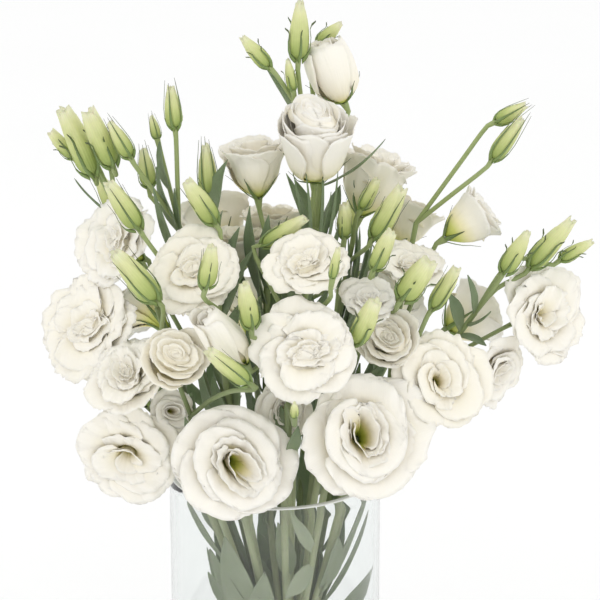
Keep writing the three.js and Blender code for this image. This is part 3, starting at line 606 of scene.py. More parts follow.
def frame_about(axis):
    """Right and up as seen by someone whom the flower faces."""
    helper = np.array([1.0, 0, 0]) if abs(axis[0]) < 0.9 else np.array([0, 1.0, 0])
    right = unit(helper - axis * (helper @ axis))
    return right, np.cross(axis, right)


print("a test path:", along_path([(0, 0), (1, 1), (2, 0)], 3).round(2).tolist())

# %% [markdown]
# ## Helpers for materials
# Nothing in the bunch is one flat colour. Pictures could be wrapped round every petal, but nodes that
# read the stored numbers need no unwrapping and follow each petal and leaf by themselves. These helpers
# make the nodes that return in every finish: ramps, sums, mixes and noise.

# %% Nodes for colour
def shader(name):
    material = bpy.data.materials.new(name)
    material.use_nodes = True
    nodes, links = material.node_tree.nodes, material.node_tree.links
    return material, nodes, links, nodes["Principled BSDF"]


def ramp_node(nodes, stops):
    node = nodes.new("ShaderNodeValToRGB")
    ramp = node.color_ramp
    while len(ramp.elements) < len(stops):
        ramp.elements.new(0.5)
    for element, (place, colour) in zip(ramp.elements, stops):
        element.position, element.color = place, (*colour, 1)
    return node


def value_of(nodes, name):
    node = nodes.new("ShaderNodeAttribute")
    node.attribute_name = name
    return node.outputs["Fac"]


def maths(nodes, links, operation, first, second):
    node = nodes.new("ShaderNodeMath")
    node.operation = operation
    for socket, value in zip(node.inputs, (first, second)):
        if isinstance(value, (int, float)):
            socket.default_value = value
        else:
            links.new(value, socket)
    return node.outputs[0]


def scaled(nodes, links, value, factor):
    return maths(nodes, links, "MULTIPLY", value, factor)


def blended(nodes, links, kind, share, first, second):
    node = nodes.new("ShaderNodeMix")
    node.data_type, node.blend_type = "RGBA", kind
    sockets = [node.inputs[0], node.inputs[6], node.inputs[7]]
    for socket, value in zip(sockets, (share, first, second)):
        if isinstance(value, (int, float, tuple)):
            socket.default_value = value
        else:
            links.new(value, socket)
    return node.outputs[2]


def noise_of(nodes, links, scale, detail):
    node = nodes.new("ShaderNodeTexNoise")
    node.inputs["Scale"].default_value = scale
    node.inputs["Detail"].default_value = detail
    links.new(nodes.new("ShaderNodeTexCoord").outputs["Object"], node.inputs["Vector"])
    return node.outputs["Fac"]


print("materials before the bunch has its own:", [material.name for material in bpy.data.materials])

# %% [markdown]
# Veins and wrinkles must run up a petal, however it is turned. So they don't read the place of a point in
# space, but the petal's own numbers: `across` from one side to the other and `along` from base to edge.

# %% Nodes for veins and wrinkles
WRINKLE_STRETCH, WRINKLE_SCALE, WRINKLE_DETAIL, VEIN_DETAIL = 1.6, 1.4, 5, 2


def vein_lines(nodes, links, count, wander):
    """Ridges that run along a blade, from its own numbers across and along."""
    joint = nodes.new("ShaderNodeCombineXYZ")
    links.new(value_of(nodes, "across"), joint.inputs[0])
    links.new(value_of(nodes, "along"), joint.inputs[1])
    wave = nodes.new("ShaderNodeTexWave")
    wave.bands_direction = "X"
    wave.inputs["Scale"].default_value = count
    wave.inputs["Distortion"].default_value = wander
    wave.inputs["Detail"].default_value = VEIN_DETAIL
    links.new(joint.outputs[0], wave.inputs["Vector"])
    return wave.outputs["Fac"]


def wrinkles_of(nodes, links, count):
    """Irregular streaks that run from the base of a petal to its edge."""
    joint = nodes.new("ShaderNodeCombineXYZ")
    links.new(scaled(nodes, links, value_of(nodes, "across"), count), joint.inputs[0])
    links.new(scaled(nodes, links, value_of(nodes, "along"), WRINKLE_STRETCH), joint.inputs[1])
    links.new(value_of(nodes, "turn"), joint.inputs[2])
    noise = nodes.new("ShaderNodeTexNoise")
    noise.inputs["Scale"].default_value = WRINKLE_SCALE
    noise.inputs["Detail"].default_value = WRINKLE_DETAIL
    links.new(joint.outputs[0], noise.inputs["Vector"])
    return noise.outputs["Fac"]


def raised(nodes, links, height, strength, distance, base):
    bump = nodes.new("ShaderNodeBump")
    bump.inputs["Strength"].default_value = strength
    bump.inputs["Distance"].default_value = distance
    links.new(height, bump.inputs["Height"])
    links.new(bump.outputs[0], base.inputs["Normal"])


print("node helpers ready")

# %% [markdown]
# ## The petal finish
# A petal is thin and silky. It is yellow-green where it leaves the calyx and turns cream and then white
# towards its edge, so the colour ramp reads `along`. Some flowers are creamier than others, which the
# number `tone` says. Faint veins, wrinkles and a soft mottling keep the white from being flat. Light
# passes under the surface only a little: with more of it, thin petals that lie on each other look grey.

# %% The petal finish
PETAL_RAMP = [
    (0.0, (0.5, 0.6, 0.08)), (0.2, (0.75, 0.78, 0.24)), (0.36, (0.94, 0.87, 0.55)),
    (0.54, (0.95, 0.9, 0.76)), (0.76, (0.95, 0.916, 0.84)), (1.0, (0.95, 0.928, 0.876))]
MOTTLING, CREAM, VEIN_SHADE = (0.75, 0.72, 0.66, 1), (0.98, 0.92, 0.7, 1), (0.82, 0.8, 0.72, 1)
MOTTLED, PATCHY, CREAMY, VEINED = 0.05, 0.6, 0.55, 0.06  # how strongly each of them shows
SILKY, PATCH_ROUGHNESS = 0.42, 0.2


def petal_finish():
    """The one finish of all petals. It reads along, across, turn and tone."""
    material, nodes, links, base = shader("petal")
    ramp = ramp_node(nodes, PETAL_RAMP)
    links.new(value_of(nodes, "along"), ramp.inputs[0])
    mottled = blended(nodes, links, "MULTIPLY", MOTTLED, ramp.outputs[0], MOTTLING)
    patches = noise_of(nodes, links, scale=90, detail=3)
    soft = blended(nodes, links, "MIX", scaled(nodes, links, patches, PATCHY), ramp.outputs[0], mottled)
    cream_share = scaled(nodes, links, value_of(nodes, "tone"), CREAMY)
    creamy = blended(nodes, links, "MULTIPLY", cream_share, soft, CREAM)
    veins = vein_lines(nodes, links, count=9, wander=3)
    veined = blended(nodes, links, "MULTIPLY", scaled(nodes, links, veins, VEINED), creamy, VEIN_SHADE)
    links.new(veined, base.inputs["Base Color"])
    rough = maths(nodes, links, "ADD", scaled(nodes, links, patches, PATCH_ROUGHNESS), SILKY)
    links.new(rough, base.inputs["Roughness"])
    wrinkles = wrinkles_of(nodes, links, count=5)
    raised(nodes, links, wrinkles, strength=0.35, distance=0.0012, base=base)
    base.inputs["Subsurface Weight"].default_value = 0.15
    base.inputs["Subsurface Radius"].default_value = (1.0, 0.95, 0.8)
    base.inputs["Subsurface Scale"].default_value = 0.0005
    base.inputs["Specular IOR Level"].default_value = 0.3
    return material


PETAL = petal_finish()
print("petal finish:", len(PETAL.node_tree.nodes), "nodes")

# %% [markdown]
# ## The green finishes
# Buds, sepals, stems and leaves are one family of greens, so one function makes them all. Each ramp again
# reads `along`: a bud pales towards its tip and a sepal darkens to a fine point. A stem's ramp holds painted
# light and shade: a painted pale in the water, painted shade of the flowers just above it, and fresh green
# above them. A leaf has a pale bloom of wax, and inside the vase it is also painted paler, as painted light.
# Fine streaks run along them all.

# %% The green finishes
WAX, GREEN_MOTTLING, STREAK_SHADE = (0.6, 0.655, 0.48, 1), (0.62, 0.68, 0.55, 1), (0.7, 0.76, 0.62, 1)
GREEN_PATCHY = 0.5


def green_finish(name, stops, veins, wax, rough, painted_vase_light=0, streak=0.3):
    """A green from its ramp, where the number tone may add painted light to the wax: leaves are painted
    paler inside the vase.
    """
    material, nodes, links, base = shader(name)
    ramp = ramp_node(nodes, stops)
    links.new(value_of(nodes, "along"), ramp.inputs[0])
    patches = noise_of(nodes, links, scale=220, detail=3)
    mottled = blended(nodes, links, "MULTIPLY", scaled(nodes, links, patches, GREEN_PATCHY),
                      ramp.outputs[0], GREEN_MOTTLING)
    share = scaled(nodes, links, noise_of(nodes, links, scale=60, detail=4), wax)
    # painted light: the number tone makes leaves paler inside the vase
    if painted_vase_light:
        bloom = scaled(nodes, links, value_of(nodes, "tone"), painted_vase_light)
        share = maths(nodes, links, "ADD", share, bloom)
    wax_and_painted_light = blended(nodes, links, "MIX", share, mottled, WAX)
    lines = vein_lines(nodes, links, count=veins, wander=1.5)
    streaked = blended(nodes, links, "MULTIPLY", scaled(nodes, links, lines, streak), wax_and_painted_light, STREAK_SHADE)
    links.new(streaked, base.inputs["Base Color"])
    roughness = maths(nodes, links, "ADD", scaled(nodes, links, patches, PATCH_ROUGHNESS), rough)
    links.new(roughness, base.inputs["Roughness"])
    raised(nodes, links, lines, strength=streak, distance=0.0004, base=base)
    base.inputs["Subsurface Weight"].default_value = 0.12
    base.inputs["Subsurface Radius"].default_value = (0.6, 1.0, 0.3)
    base.inputs["Subsurface Scale"].default_value = 0.002
    return material


# The stem ramp holds painted light and shade: pale stops for painted light in the water, a dark stop at 0.6
# for painted shade just above the rim.
STEM = green_finish("stem", [
    (0, (0.62, 0.67, 0.43)), (0.42, (0.6, 0.64, 0.4)), (0.6, (0.11, 0.145, 0.05)),
    (0.8, (0.22, 0.28, 0.095)), (1, (0.31, 0.38, 0.13))], veins=3, wax=0.22, rough=0.42)
LEAF = green_finish("leaf", [
    (0, (0.25, 0.31, 0.17)), (0.5, (0.18, 0.24, 0.13)), (1, (0.14, 0.2, 0.1))],
    veins=7, wax=0.26, rough=0.5, painted_vase_light=0.8)
BUD = green_finish("bud", [
    (0, (0.28, 0.37, 0.09)), (0.22, (0.43, 0.51, 0.15)), (0.5, (0.64, 0.68, 0.28)),
    (0.8, (0.8, 0.8, 0.43)), (1, (0.88, 0.86, 0.62))], veins=4, wax=0.04, rough=0.45, streak=0.14)
SEPAL = green_finish("sepal", [
    (0, (0.27, 0.37, 0.1)), (0.45, (0.2, 0.29, 0.09)), (0.75, (0.13, 0.18, 0.06)),
    (1, (0.06, 0.065, 0.03))], veins=3, wax=0.1, rough=0.5)
print("green finishes:", [material.name for material in (STEM, LEAF, BUD, SEPAL)])

# %% [markdown]
# ## The clear finishes
# Glass and water could be plain see-through surfaces, but real ones also bend what stands behind them. So
# the shader's transmission does the work, with the slightest unevenness of pressed glass as bump. Thick
# glass takes a little of the light, which draws its edges. The rounded lip is a painted highlight: it is
# made nearly white and hardly clear, so it shows as a thin bright line.

# %% The clear finishes
GLASS_INDEX, WATER_INDEX = 1.45, 1.333
DEPTH_DENSITY, UNEVEN_TINT, UNEVEN_DEPTH = 70, 0.3, 0.002
CLEAR_WHITE = (1, 1, 1, 1)


def clear_finish(name, colour, index, roughness, wave_scale, strength, taken=None):
    """A clear finish. `taken` is the colour that is left of light on its way through thick glass."""
    material, nodes, links, base = shader(name)
    share = scaled(nodes, links, noise_of(nodes, links, scale=20, detail=2), UNEVEN_TINT)
    tint = blended(nodes, links, "MIX", share, (*colour, 1), CLEAR_WHITE)
    links.new(tint, base.inputs["Base Color"])
    base.inputs["Roughness"].default_value = roughness
    base.inputs["IOR"].default_value = index
    base.inputs["Transmission Weight"].default_value = 1
    unevenness = noise_of(nodes, links, scale=wave_scale, detail=2)
    raised(nodes, links, unevenness, strength, UNEVEN_DEPTH, base)
    if taken:
        depth = nodes.new("ShaderNodeVolumeAbsorption")
        depth.inputs["Color"].default_value = (*taken, 1)
        depth.inputs["Density"].default_value = DEPTH_DENSITY
        links.new(depth.outputs[0], nodes["Material Output"].inputs["Volume"])
    return material


GLASS = clear_finish("glass", (0.98, 0.99, 0.985), GLASS_INDEX, roughness=0.0, wave_scale=18,
                     strength=0.03, taken=(0.84, 0.865, 0.86))
PAINTED_LIP_HIGHLIGHT = clear_finish("glass_lip", (0.97, 0.98, 0.98), GLASS_INDEX, roughness=0.25, wave_scale=18,
                         strength=0.03)
# The lip is a painted highlight: it lets little light through, so its near-white colour draws a bright line.
lip_shader = PAINTED_LIP_HIGHLIGHT.node_tree.nodes["Principled BSDF"]
lip_shader.inputs["Transmission Weight"].default_value = 0.15
lip_shader.inputs["Specular IOR Level"].default_value = 0.6
WATER = clear_finish("water", (0.97, 0.985, 0.98), WATER_INDEX, roughness=0.0, wave_scale=35,
                     strength=0.02)
print("clear finishes:", [material.name for material in (GLASS, PAINTED_LIP_HIGHLIGHT, WATER)])

# %% [markdown]
# ## The vase and its water
# A drawn glass cylinder is a shape of revolution, so its profile is turned about the upright axis. A
# Screw modifier could do it too, but a few lines of arrays are as short and leave a plain mesh. The lip
# is rounded by fire, the foot is thick and its inner corner is round. The profile is closed, so the glass
# has a real wall that light enters and leaves.

# %% Turning a profile
SIDES = 128


def turned(profile):
    """A closed skin of revolution from a profile that starts and ends on the axis."""
    profile = np.asarray(profile, float)
    angles = np.arange(SIDES) * TURN / SIDES
    ring = np.stack([np.cos(angles), np.sin(angles)], axis=-1)
    inner = profile[1:-1]
    points = [np.concatenate([ring * r, np.full((SIDES, 1), z)], axis=1) for r, z in inner]
    points = np.vstack([*points, [[0, 0, profile[0][1]], [0, 0, profile[-1][1]]]])
    at = np.arange(len(inner) * SIDES).reshape(-1, SIDES)
    nxt = np.roll(at, -1, axis=1)
    quads = np.stack([at[:-1], nxt[:-1], nxt[1:], at[1:]], axis=-1).reshape(-1, 4).tolist()
    bottom, top = len(points) - 2, len(points) - 1
    fans = [(bottom, b, a) for a, b in zip(at[0].tolist(), nxt[0].tolist())]
    fans += [(top, a, b) for a, b in zip(at[-1].tolist(), nxt[-1].tolist())]
    return points, quads + fans


def arc(centre, radius, start, end, count):
    """Points of a profile along a rounded corner, with the angles in degrees."""
    angles = np.radians(np.linspace(start, end, count))
    return [(centre[0] + radius * math.cos(t), centre[1] + radius * math.sin(t)) for t in angles]


print("a rounded corner:", np.round(arc((0, 0), 1, 0, 90, 3), 2).tolist())

# %% The vase
INNER = VASE_RADIUS - VASE_WALL
LIP, FOOT_EDGE, INNER_CORNER = 0.9, 3, 5
WALL_HEIGHTS = (60, 120, 180, VASE_HEIGHT - 8)
vase_points, vase_faces = turned([
    (0, 1.2), (VASE_RADIUS - 16, 1.0), (VASE_RADIUS - 9, 0),
    *arc((VASE_RADIUS - FOOT_EDGE, FOOT_EDGE), FOOT_EDGE, -90, 0, 7),
    *[(VASE_RADIUS, height) for height in WALL_HEIGHTS],
    *arc((VASE_RADIUS - LIP, VASE_HEIGHT - LIP), LIP, 0, 90, 5),
    *arc((INNER + LIP, VASE_HEIGHT - LIP), LIP, 90, 180, 5),
    *[(INNER, height) for height in reversed(WALL_HEIGHTS)],
    (INNER, VASE_FLOOR + INNER_CORNER + 1),
    *arc((INNER - INNER_CORNER, VASE_FLOOR + INNER_CORNER), INNER_CORNER, 0, -90, 7)[1:],
    (INNER - 20, VASE_FLOOR - 0.4), (0, VASE_FLOOR - 0.6)])
vase = smooth_piece("vase_glass", vase_points, vase_faces, GLASS, {})
vase.data.materials.append(PAINTED_LIP_HIGHLIGHT)
for face in vase.data.polygons:
    face.material_index = int(face.center.z > (VASE_HEIGHT - LIP) * MM)
finish_piece(vase, "vase")
print("faces of the vase:", len(vase_faces))

# %% [markdown]
# Water climbs a little where it meets glass, so its flat top ends in a small curved edge. It keeps a
# hair's breadth off the wall, because two clear surfaces in one place would flicker.

# %% The water
WATER_TOP, WATER_REACH = 122, INNER - SEAT_GAP
CLIMB = [(0.1, 1.4), (0.8, 0.6), (2, 0.15), (5, 0)]  # how far in from its edge, and how high
water_points, water_faces = turned([
    (0, VASE_FLOOR + SEAT_GAP),
    *arc((WATER_REACH - INNER_CORNER, VASE_FLOOR + 5.4), INNER_CORNER, -90, 0, 7),
    (WATER_REACH, 40), (WATER_REACH, 80), (WATER_REACH, WATER_TOP - 1),
    *[(WATER_REACH - inwards, WATER_TOP + height) for inwards, height in CLIMB],
    (0, WATER_TOP)])
water = smooth_piece("water", water_points, water_faces, WATER, {})
finish_piece(water, "water")
print("faces of the water:", len(water_faces))

# %% [markdown]
# ## Stems
# A stem could be a curve with a bevel, but its branches differ in thickness and swell under each flower.
# So Geometry Nodes sweep a round profile along it. The path is a mesh of edges with a number
# `half_thickness` at each point. The tree turns it into a smooth curve, spaces its points evenly, sweeps
# the profile with that thickness and closes the ends.

# %% Helpers for trees
def new_tree(name, inputs):
    """A tree with a geometry input, the named inputs, and a geometry output."""
    tree = bpy.data.node_groups.new(name, "GeometryNodeTree")
    tree.is_modifier = True
    tree.interface.new_socket("Geometry", in_out="INPUT", socket_type="NodeSocketGeometry")
    for label, kind in inputs:
        tree.interface.new_socket(label, in_out="INPUT", socket_type=f"NodeSocket{kind}")
    tree.interface.new_socket("Geometry", in_out="OUTPUT", socket_type="NodeSocketGeometry")
    return tree, tree.nodes.new("NodeGroupInput"), tree.nodes.new("NodeGroupOutput")


def named(tree, name, kind):
    node = tree.nodes.new("GeometryNodeInputNamedAttribute")
    node.data_type = kind
    node.inputs["Name"].default_value = name
    return node.outputs["Attribute"]


def run_tree(piece, tree, values):
    """Runs a tree on a piece with its inputs set, and leaves a plain mesh."""
    modifier = piece.modifiers.new("tree", "NODES")
    modifier.node_group = tree
    for item in tree.interface.items_tree:
        if item.item_type == "SOCKET" and item.in_out == "INPUT" and item.name in values:
            modifier[item.identifier] = values[item.name]
    bpy.context.view_layer.update()
    ready = piece.evaluated_get(bpy.context.evaluated_depsgraph_get())
    mesh = bpy.data.meshes.new_from_object(ready)
    mesh.name = piece.name
    piece.modifiers.clear()
    piece.data = mesh
    return piece


print("tree helpers ready")


# %% The stem tree
def stem_tree():
    inputs = [("Sides", "Int"), ("Spacing", "Float"), ("Finish", "Material")]
    tree, given, made = new_tree("stem_skin", inputs)
    link, new = tree.links.new, tree.nodes.new
    curve = new("GeometryNodeMeshToCurve")
    link(given.outputs["Geometry"], curve.inputs["Mesh"])
    smooth = new("GeometryNodeCurveSplineType")
    smooth.spline_type = "CATMULL_ROM"
    link(curve.outputs[0], smooth.inputs[0])
    even = new("GeometryNodeResampleCurve")
    even.mode = "LENGTH"
    link(smooth.outputs[0], even.inputs["Curve"])
    link(given.outputs["Spacing"], even.inputs["Length"])
    profile = new("GeometryNodeCurvePrimitiveCircle")
    profile.inputs["Radius"].default_value = 1
    link(given.outputs["Sides"], profile.inputs["Resolution"])
    sweep = new("GeometryNodeCurveToMesh")
    sweep.inputs["Fill Caps"].default_value = True
    link(even.outputs[0], sweep.inputs["Curve"])
    link(profile.outputs[0], sweep.inputs["Profile Curve"])
    link(named(tree, "half_thickness", "FLOAT"), sweep.inputs["Scale"])
    soft = new("GeometryNodeSetShadeSmooth")
    link(sweep.outputs[0], soft.inputs[0])
    real = new("GeometryNodeRealizeInstances")
    link(soft.outputs[0], real.inputs[0])
    finish = new("GeometryNodeSetMaterial")
    link(real.outputs[0], finish.inputs["Geometry"])
    link(given.outputs["Finish"], finish.inputs["Material"])
    link(finish.outputs[0], made.inputs[0])
    return tree


STEM_TREE = stem_tree()
print("stem tree:", len(STEM_TREE.nodes), "nodes")

# %% [markdown]
# Each stem's path carries a second number, `along`, for its colour, and painted light and shade are in it.
# It grows with the height, from a painted pale in the water through painted shade just above the rim to
# fresh green at the top. Inside the vase and just above it, the stems at the back get the darker part of
# the ramp as painted shade of the others.

# %% The stems
STEM_SIDES, STEM_STEP = 10, 6
PALE_BELOW, FRESH_OVER = 100, 300  # the height where the colours start, and the way they take
# Stems are painted darker with depth, as painted shade, from BACK_FROM over BACK_OVER mm, and only up to
# SHADE_TOP.
BACK_FROM, BACK_OVER, BACK_SHADE, SHADE_TOP = -22, 40, 0.7, VASE_HEIGHT + 10


# The ramp number is painted light and shade: pale in the water, dark just above the rim and at the back.
def stem_painted_shading(point):
    back = BACK_SHADE * np.clip((point[1] - BACK_FROM) / BACK_OVER, 0, 1) * (point[2] < SHADE_TOP)
    return float(np.clip(max((point[2] - PALE_BELOW) / FRESH_OVER, back), 0, 1))


def stem_piece(name, branches):
    """One stem with all its branches, from paths to a closed skin."""
    points, edges, thick, along = [], [], [], []
    for branch in branches:
        path = branch["points"]
        ends = {None: branch["radius"], "bud": BUD_SEAT}
        last = ends.get(branch.get("head"), RECEPTACLE)
        start = len(points)
        points += path.tolist()
        edges += [(start + k, start + k + 1) for k in range(len(path) - 1)]
        thick += [branch["radius"]] * (len(path) - 1) + [last]
        along += [stem_painted_shading(point) for point in path]
    numbers = {"half_thickness": np.array(thick) * MM, "along": along}
    piece = mesh_object(name, np.array(points) * MM, edges, [], numbers)
    return run_tree(piece, STEM_TREE, {"Sides": STEM_SIDES, "Spacing": STEM_STEP * MM, "Finish": STEM})


for name in SPRAYS:
    finish_piece(stem_piece(f"green_{name}", grown[name]), f"stem_{name}")
print("stems skinned:", len(SPRAYS))

# %% [markdown]
# ## Petals
# A double lisianthus has ten to twenty-five petals in layers. One petal could be sculpted and copied, but
# no two are alike and the copies would show. So each petal is its own thin sheet, worked out by rule. A
# form is a list of layers from the outside in: "open" lies flat about a green throat, "wide" has fewer
# and broader petals, "full" more and smaller ones, "cup" is half open, "rose" is rolled tight, "ball" is
# round and packed, and "blunt" and "closed" are large buds. A layer is how many petals it has, their
# profile as (radius, height) in shares of the flower's radius and depth, their half width, how wavy they
# are, how round their edge is, and how far one side laps over the next petal.

# %% Layers of petals
LAYERS = {
    "open": [
        (5, [(0.06, 0.02), (0.28, 0.5), (0.66, 0.8), (1.04, 0.83)], 0.86, 0.055, 0.2, 0.04),
        (4, [(0.05, 0.04), (0.24, 0.52), (0.58, 0.85), (0.94, 0.9)], 0.88, 0.06, 0.2, 0.04),
        (4, [(0.05, 0.05), (0.18, 0.5), (0.34, 0.8), (0.7, 0.93)], 0.66, 0.065, 0.2, 0.04),
        (3, [(0.04, 0.06), (0.15, 0.45), (0.23, 0.74), (0.42, 0.96)], 0.44, 0.07, 0.22, 0.05),
    ],
    "wide": [
        (4, [(0.06, 0.02), (0.3, 0.45), (0.68, 0.74), (1.05, 0.78)], 1.15, 0.07, 0.2, 0.06),
        (3, [(0.05, 0.04), (0.26, 0.5), (0.54, 0.84), (0.83, 0.9)], 1.25, 0.07, 0.22, 0.06),
        (3, [(0.08, 0.05), (0.26, 0.45), (0.38, 0.78), (0.54, 0.95)], 0.8, 0.07, 0.2, 0.04),
        (2, [(0.06, 0.06), (0.2, 0.4), (0.27, 0.7), (0.37, 0.94)], 0.62, 0.07, 0.22, 0.05),
    ],
    "full": [
        (5, [(0.06, 0.02), (0.28, 0.5), (0.66, 0.8), (1.04, 0.83)], 0.86, 0.055, 0.2, 0.04),
        (5, [(0.05, 0.04), (0.24, 0.52), (0.58, 0.85), (0.92, 0.9)], 0.8, 0.06, 0.2, 0.04),
        (4, [(0.05, 0.05), (0.18, 0.5), (0.34, 0.8), (0.68, 0.94)], 0.64, 0.065, 0.2, 0.04),
        (3, [(0.04, 0.06), (0.15, 0.5), (0.22, 0.78), (0.46, 0.97)], 0.46, 0.07, 0.22, 0.05),
        (3, [(0.04, 0.2), (0.08, 0.55), (0.12, 0.8), (0.25, 0.96)], 0.3, 0.06, 0.25, 0.04),
    ],
    "cup": [
        (4, [(0.1, 0.02), (0.56, 0.3), (0.78, 0.68), (1.05, 0.92)], 1.02, 0.045, 0.16, 0.05),
        (3, [(0.08, 0.04), (0.46, 0.36), (0.6, 0.75), (0.88, 0.96)], 0.98, 0.05, 0.16, 0.05),
        (3, [(0.08, 0.06), (0.3, 0.42), (0.38, 0.78), (0.62, 0.99)], 0.7, 0.06, 0.18, 0.05),
        (2, [(0.06, 0.1), (0.16, 0.5), (0.2, 0.8), (0.34, 1.0)], 0.42, 0.06, 0.22, 0.05),
    ],
    "rose": [
        (4, [(0.1, 0.02), (0.64, 0.28), (0.8, 0.62), (1.04, 0.8)], 1.02, 0.04, 0.16, 0.05),
        (4, [(0.1, 0.04), (0.52, 0.36), (0.64, 0.76), (0.9, 0.93)], 0.92, 0.04, 0.18, 0.05),
        (3, [(0.1, 0.08), (0.36, 0.42), (0.43, 0.8), (0.67, 1.0)], 0.84, 0.04, 0.2, 0.05),
        (3, [(0.08, 0.1), (0.22, 0.5), (0.27, 0.84), (0.45, 1.02)], 0.56, 0.04, 0.22, 0.05),
        (2, [(0.05, 0.25), (0.1, 0.6), (0.12, 0.86), (0.23, 1.02)], 0.34, 0.03, 0.26, 0.04),
    ],
    "ball": [
        (4, [(0.1, 0.02), (0.62, 0.2), (0.88, 0.58), (1.02, 0.86)], 1.05, 0.05, 0.1, 0.05),
        (4, [(0.1, 0.04), (0.6, 0.3), (0.84, 0.72), (0.96, 0.96)], 1.05, 0.04, 0.12, 0.05),
        (4, [(0.1, 0.08), (0.5, 0.42), (0.72, 0.82), (0.83, 1.02)], 0.95, 0.04, 0.14, 0.05),
        (3, [(0.08, 0.1), (0.4, 0.5), (0.56, 0.86), (0.67, 1.05)], 0.85, 0.04, 0.16, 0.05),
        (3, [(0.05, 0.25), (0.3, 0.6), (0.36, 0.88), (0.47, 1.05)], 0.62, 0.04, 0.18, 0.05),
        (2, [(0.05, 0.3), (0.16, 0.6), (0.18, 0.88), (0.28, 1.04)], 0.42, 0.04, 0.2, 0.04),
    ],
    "blunt": [
        (4, [(0.25, 0.02), (0.86, 0.2), (1.03, 0.5), (1.0, 0.8), (0.86, 0.99)], 1.15, 0.03, 0.08, 0.1),
        (3, [(0.2, 0.06), (0.66, 0.28), (0.84, 0.6), (0.84, 0.88), (0.7, 1.03)], 1.1, 0.03, 0.1, 0.1),
        (3, [(0.1, 0.2), (0.4, 0.4), (0.56, 0.7), (0.46, 1.0)], 0.8, 0.03, 0.12, 0.08),
    ],
    "closed": [
        (4, [(0.22, 0.02), (0.84, 0.22), (1.02, 0.52), (0.8, 0.86), (0.68, 1.0)], 1.1, 0.03, 0.16, 0.1),
        (3, [(0.2, 0.06), (0.6, 0.28), (0.74, 0.56), (0.58, 0.88), (0.46, 1.02)], 0.9, 0.03, 0.18, 0.1),
        (2, [(0.1, 0.2), (0.3, 0.4), (0.4, 0.66), (0.26, 0.98)], 0.6, 0.03, 0.2, 0.08),
    ],
}
print("forms of flowers:", list(LAYERS))

# %% [markdown]
# The next numbers say how each flower differs. A heart is the profile of one tightly folded petal that
# closes the middle, so no dark hole shows between the inner ones. The forms without one show their green
# throat or are shut. LOOSER names the flowers that look more open, fuller or rounder than the form of
# their solid. WIDER is the reach of the petals as a share of the solid's radius, and USUAL_WIDTH holds for
# the flowers that it doesn't name. LATE_WHITE is a power, by flower or by form: above 1, a petal stays
# green and creamy longer on its way to the edge. THROATS are the directions of the long narrow throats, in
# degrees.

# %% How each flower opens
HEARTS = {
    "full": [(0.46, 0.7), (0.32, 0.82), (0.16, 0.89), (0.02, 0.91)],
    "blunt": [(0.6, 0.8), (0.5, 0.9), (0.3, 0.95), (0.02, 0.97)],
    "cup": [(0.8, 0.55), (0.6, 0.72), (0.3, 0.84), (0.02, 0.88)],
    "rose": [(0.8, 0.6), (0.6, 0.77), (0.3, 0.88), (0.02, 0.93)],
    "ball": [(0.95, 0.84), (0.62, 0.96), (0.35, 1.01), (0.02, 1.03)],
}
LOOSER = {"right_open": "open", "under_centre": "wide", "under_left": "wide", "centre_rose": "full",
          "right_back": "full", "top_rose": "ball", "centre_front": "full", "left_middle": "full",
          "left_cup": "full", "left_ruffled": "full", "left_high": "full", "right_low": "wide",
          "right_middle": "full", "front_left": "wide", "front_right": "wide", "top_bud": "blunt"}
WIDER = {"left_ruffled": 1.14, "left_cup": 1.14, "left_high": 1.1, "left_nodding": 1.08, "right_far": 1.14,
         "right_low": 1.16, "small_rose": 1.08, "right_cream": 1.42, "top_rose": 0.97, "under_centre": 1.35,
         "under_left": 1.3, "right_open": 1.22, "right_middle": 1.25, "right_back": 1.1, "left_middle": 0.98,
         "centre_rose": 1.0, "top_right": 1.12, "rear_far_right": 0.9, "back_left_small": 1.4,
         "back_centre": 1.3, "back_right": 1.3}
USUAL_WIDTH = 1.04
LATE_WHITE = {"closed": 0.45, "cup": 0.8, "rose": 0.8, "open": 1.25, "far_right_high": 1.3,
              "right_open": 1.3}
THROATS = {"front_left": -50, "front_right": -75, "centre_front": 10, "right_open": -70}


def dress_of(name):
    """The layers of a flower, with the heart of its form where it has one."""
    form = LOOSER.get(name, BLOOMS[name][4])
    heart = [(1, HEARTS[form], 6, 0.02, 0, 0)] if form in HEARTS else []
    return LAYERS[form] + heart


print("petals in all:", sum(layer[0] for name in BLOOMS for layer in dress_of(name)))

# %% [markdown]
# Ruffles are random, yet petals that lie on each other are ruffled alike, or they would cut through one
# another. So one wave runs round the whole flower, each layer adds a little of its own to it, and only
# the outermost edge of a petal ripples by itself. Every flower has its own seed and comes out the same at
# each run.

# %% Ruffles
RING_WAVES = (2, 4, 6, 9, 13)


def ripples(rng, values, waves):
    """A gentle random curve over values from -1 to 1, about as high as it is low."""
    total = 0
    for k in range(1, waves + 1):
        height = rng.normal(0, 1 / k ** 0.5)
        total = total + height * np.sin(values * math.pi * k * 0.9 + rng.uniform(0, TURN))
    return total / waves ** 0.5


def ring_wave(rng, base=None):
    """A gentle random curve round the whole flower. With a base curve, it is mostly that curve."""
    waves = [(k, rng.normal(0, 1 / k ** 0.25), rng.uniform(0, TURN)) for k in RING_WAVES]
    own = lambda angle: sum(size * np.sin(k * angle + start) for k, size, start in waves) * 0.8
    return own if base is None else lambda angle: 0.8 * base(angle) + 0.4 * own(angle)


print("waves round a flower:", RING_WAVES)

# %% [markdown]
# A petal is a grid: one direction runs from its base to its edge along its layer's profile, the other
# goes round the flower. The rounded edge with its small teeth, the overlap on the next petal, the ruffles
# and the flared sides are all moves of that grid.

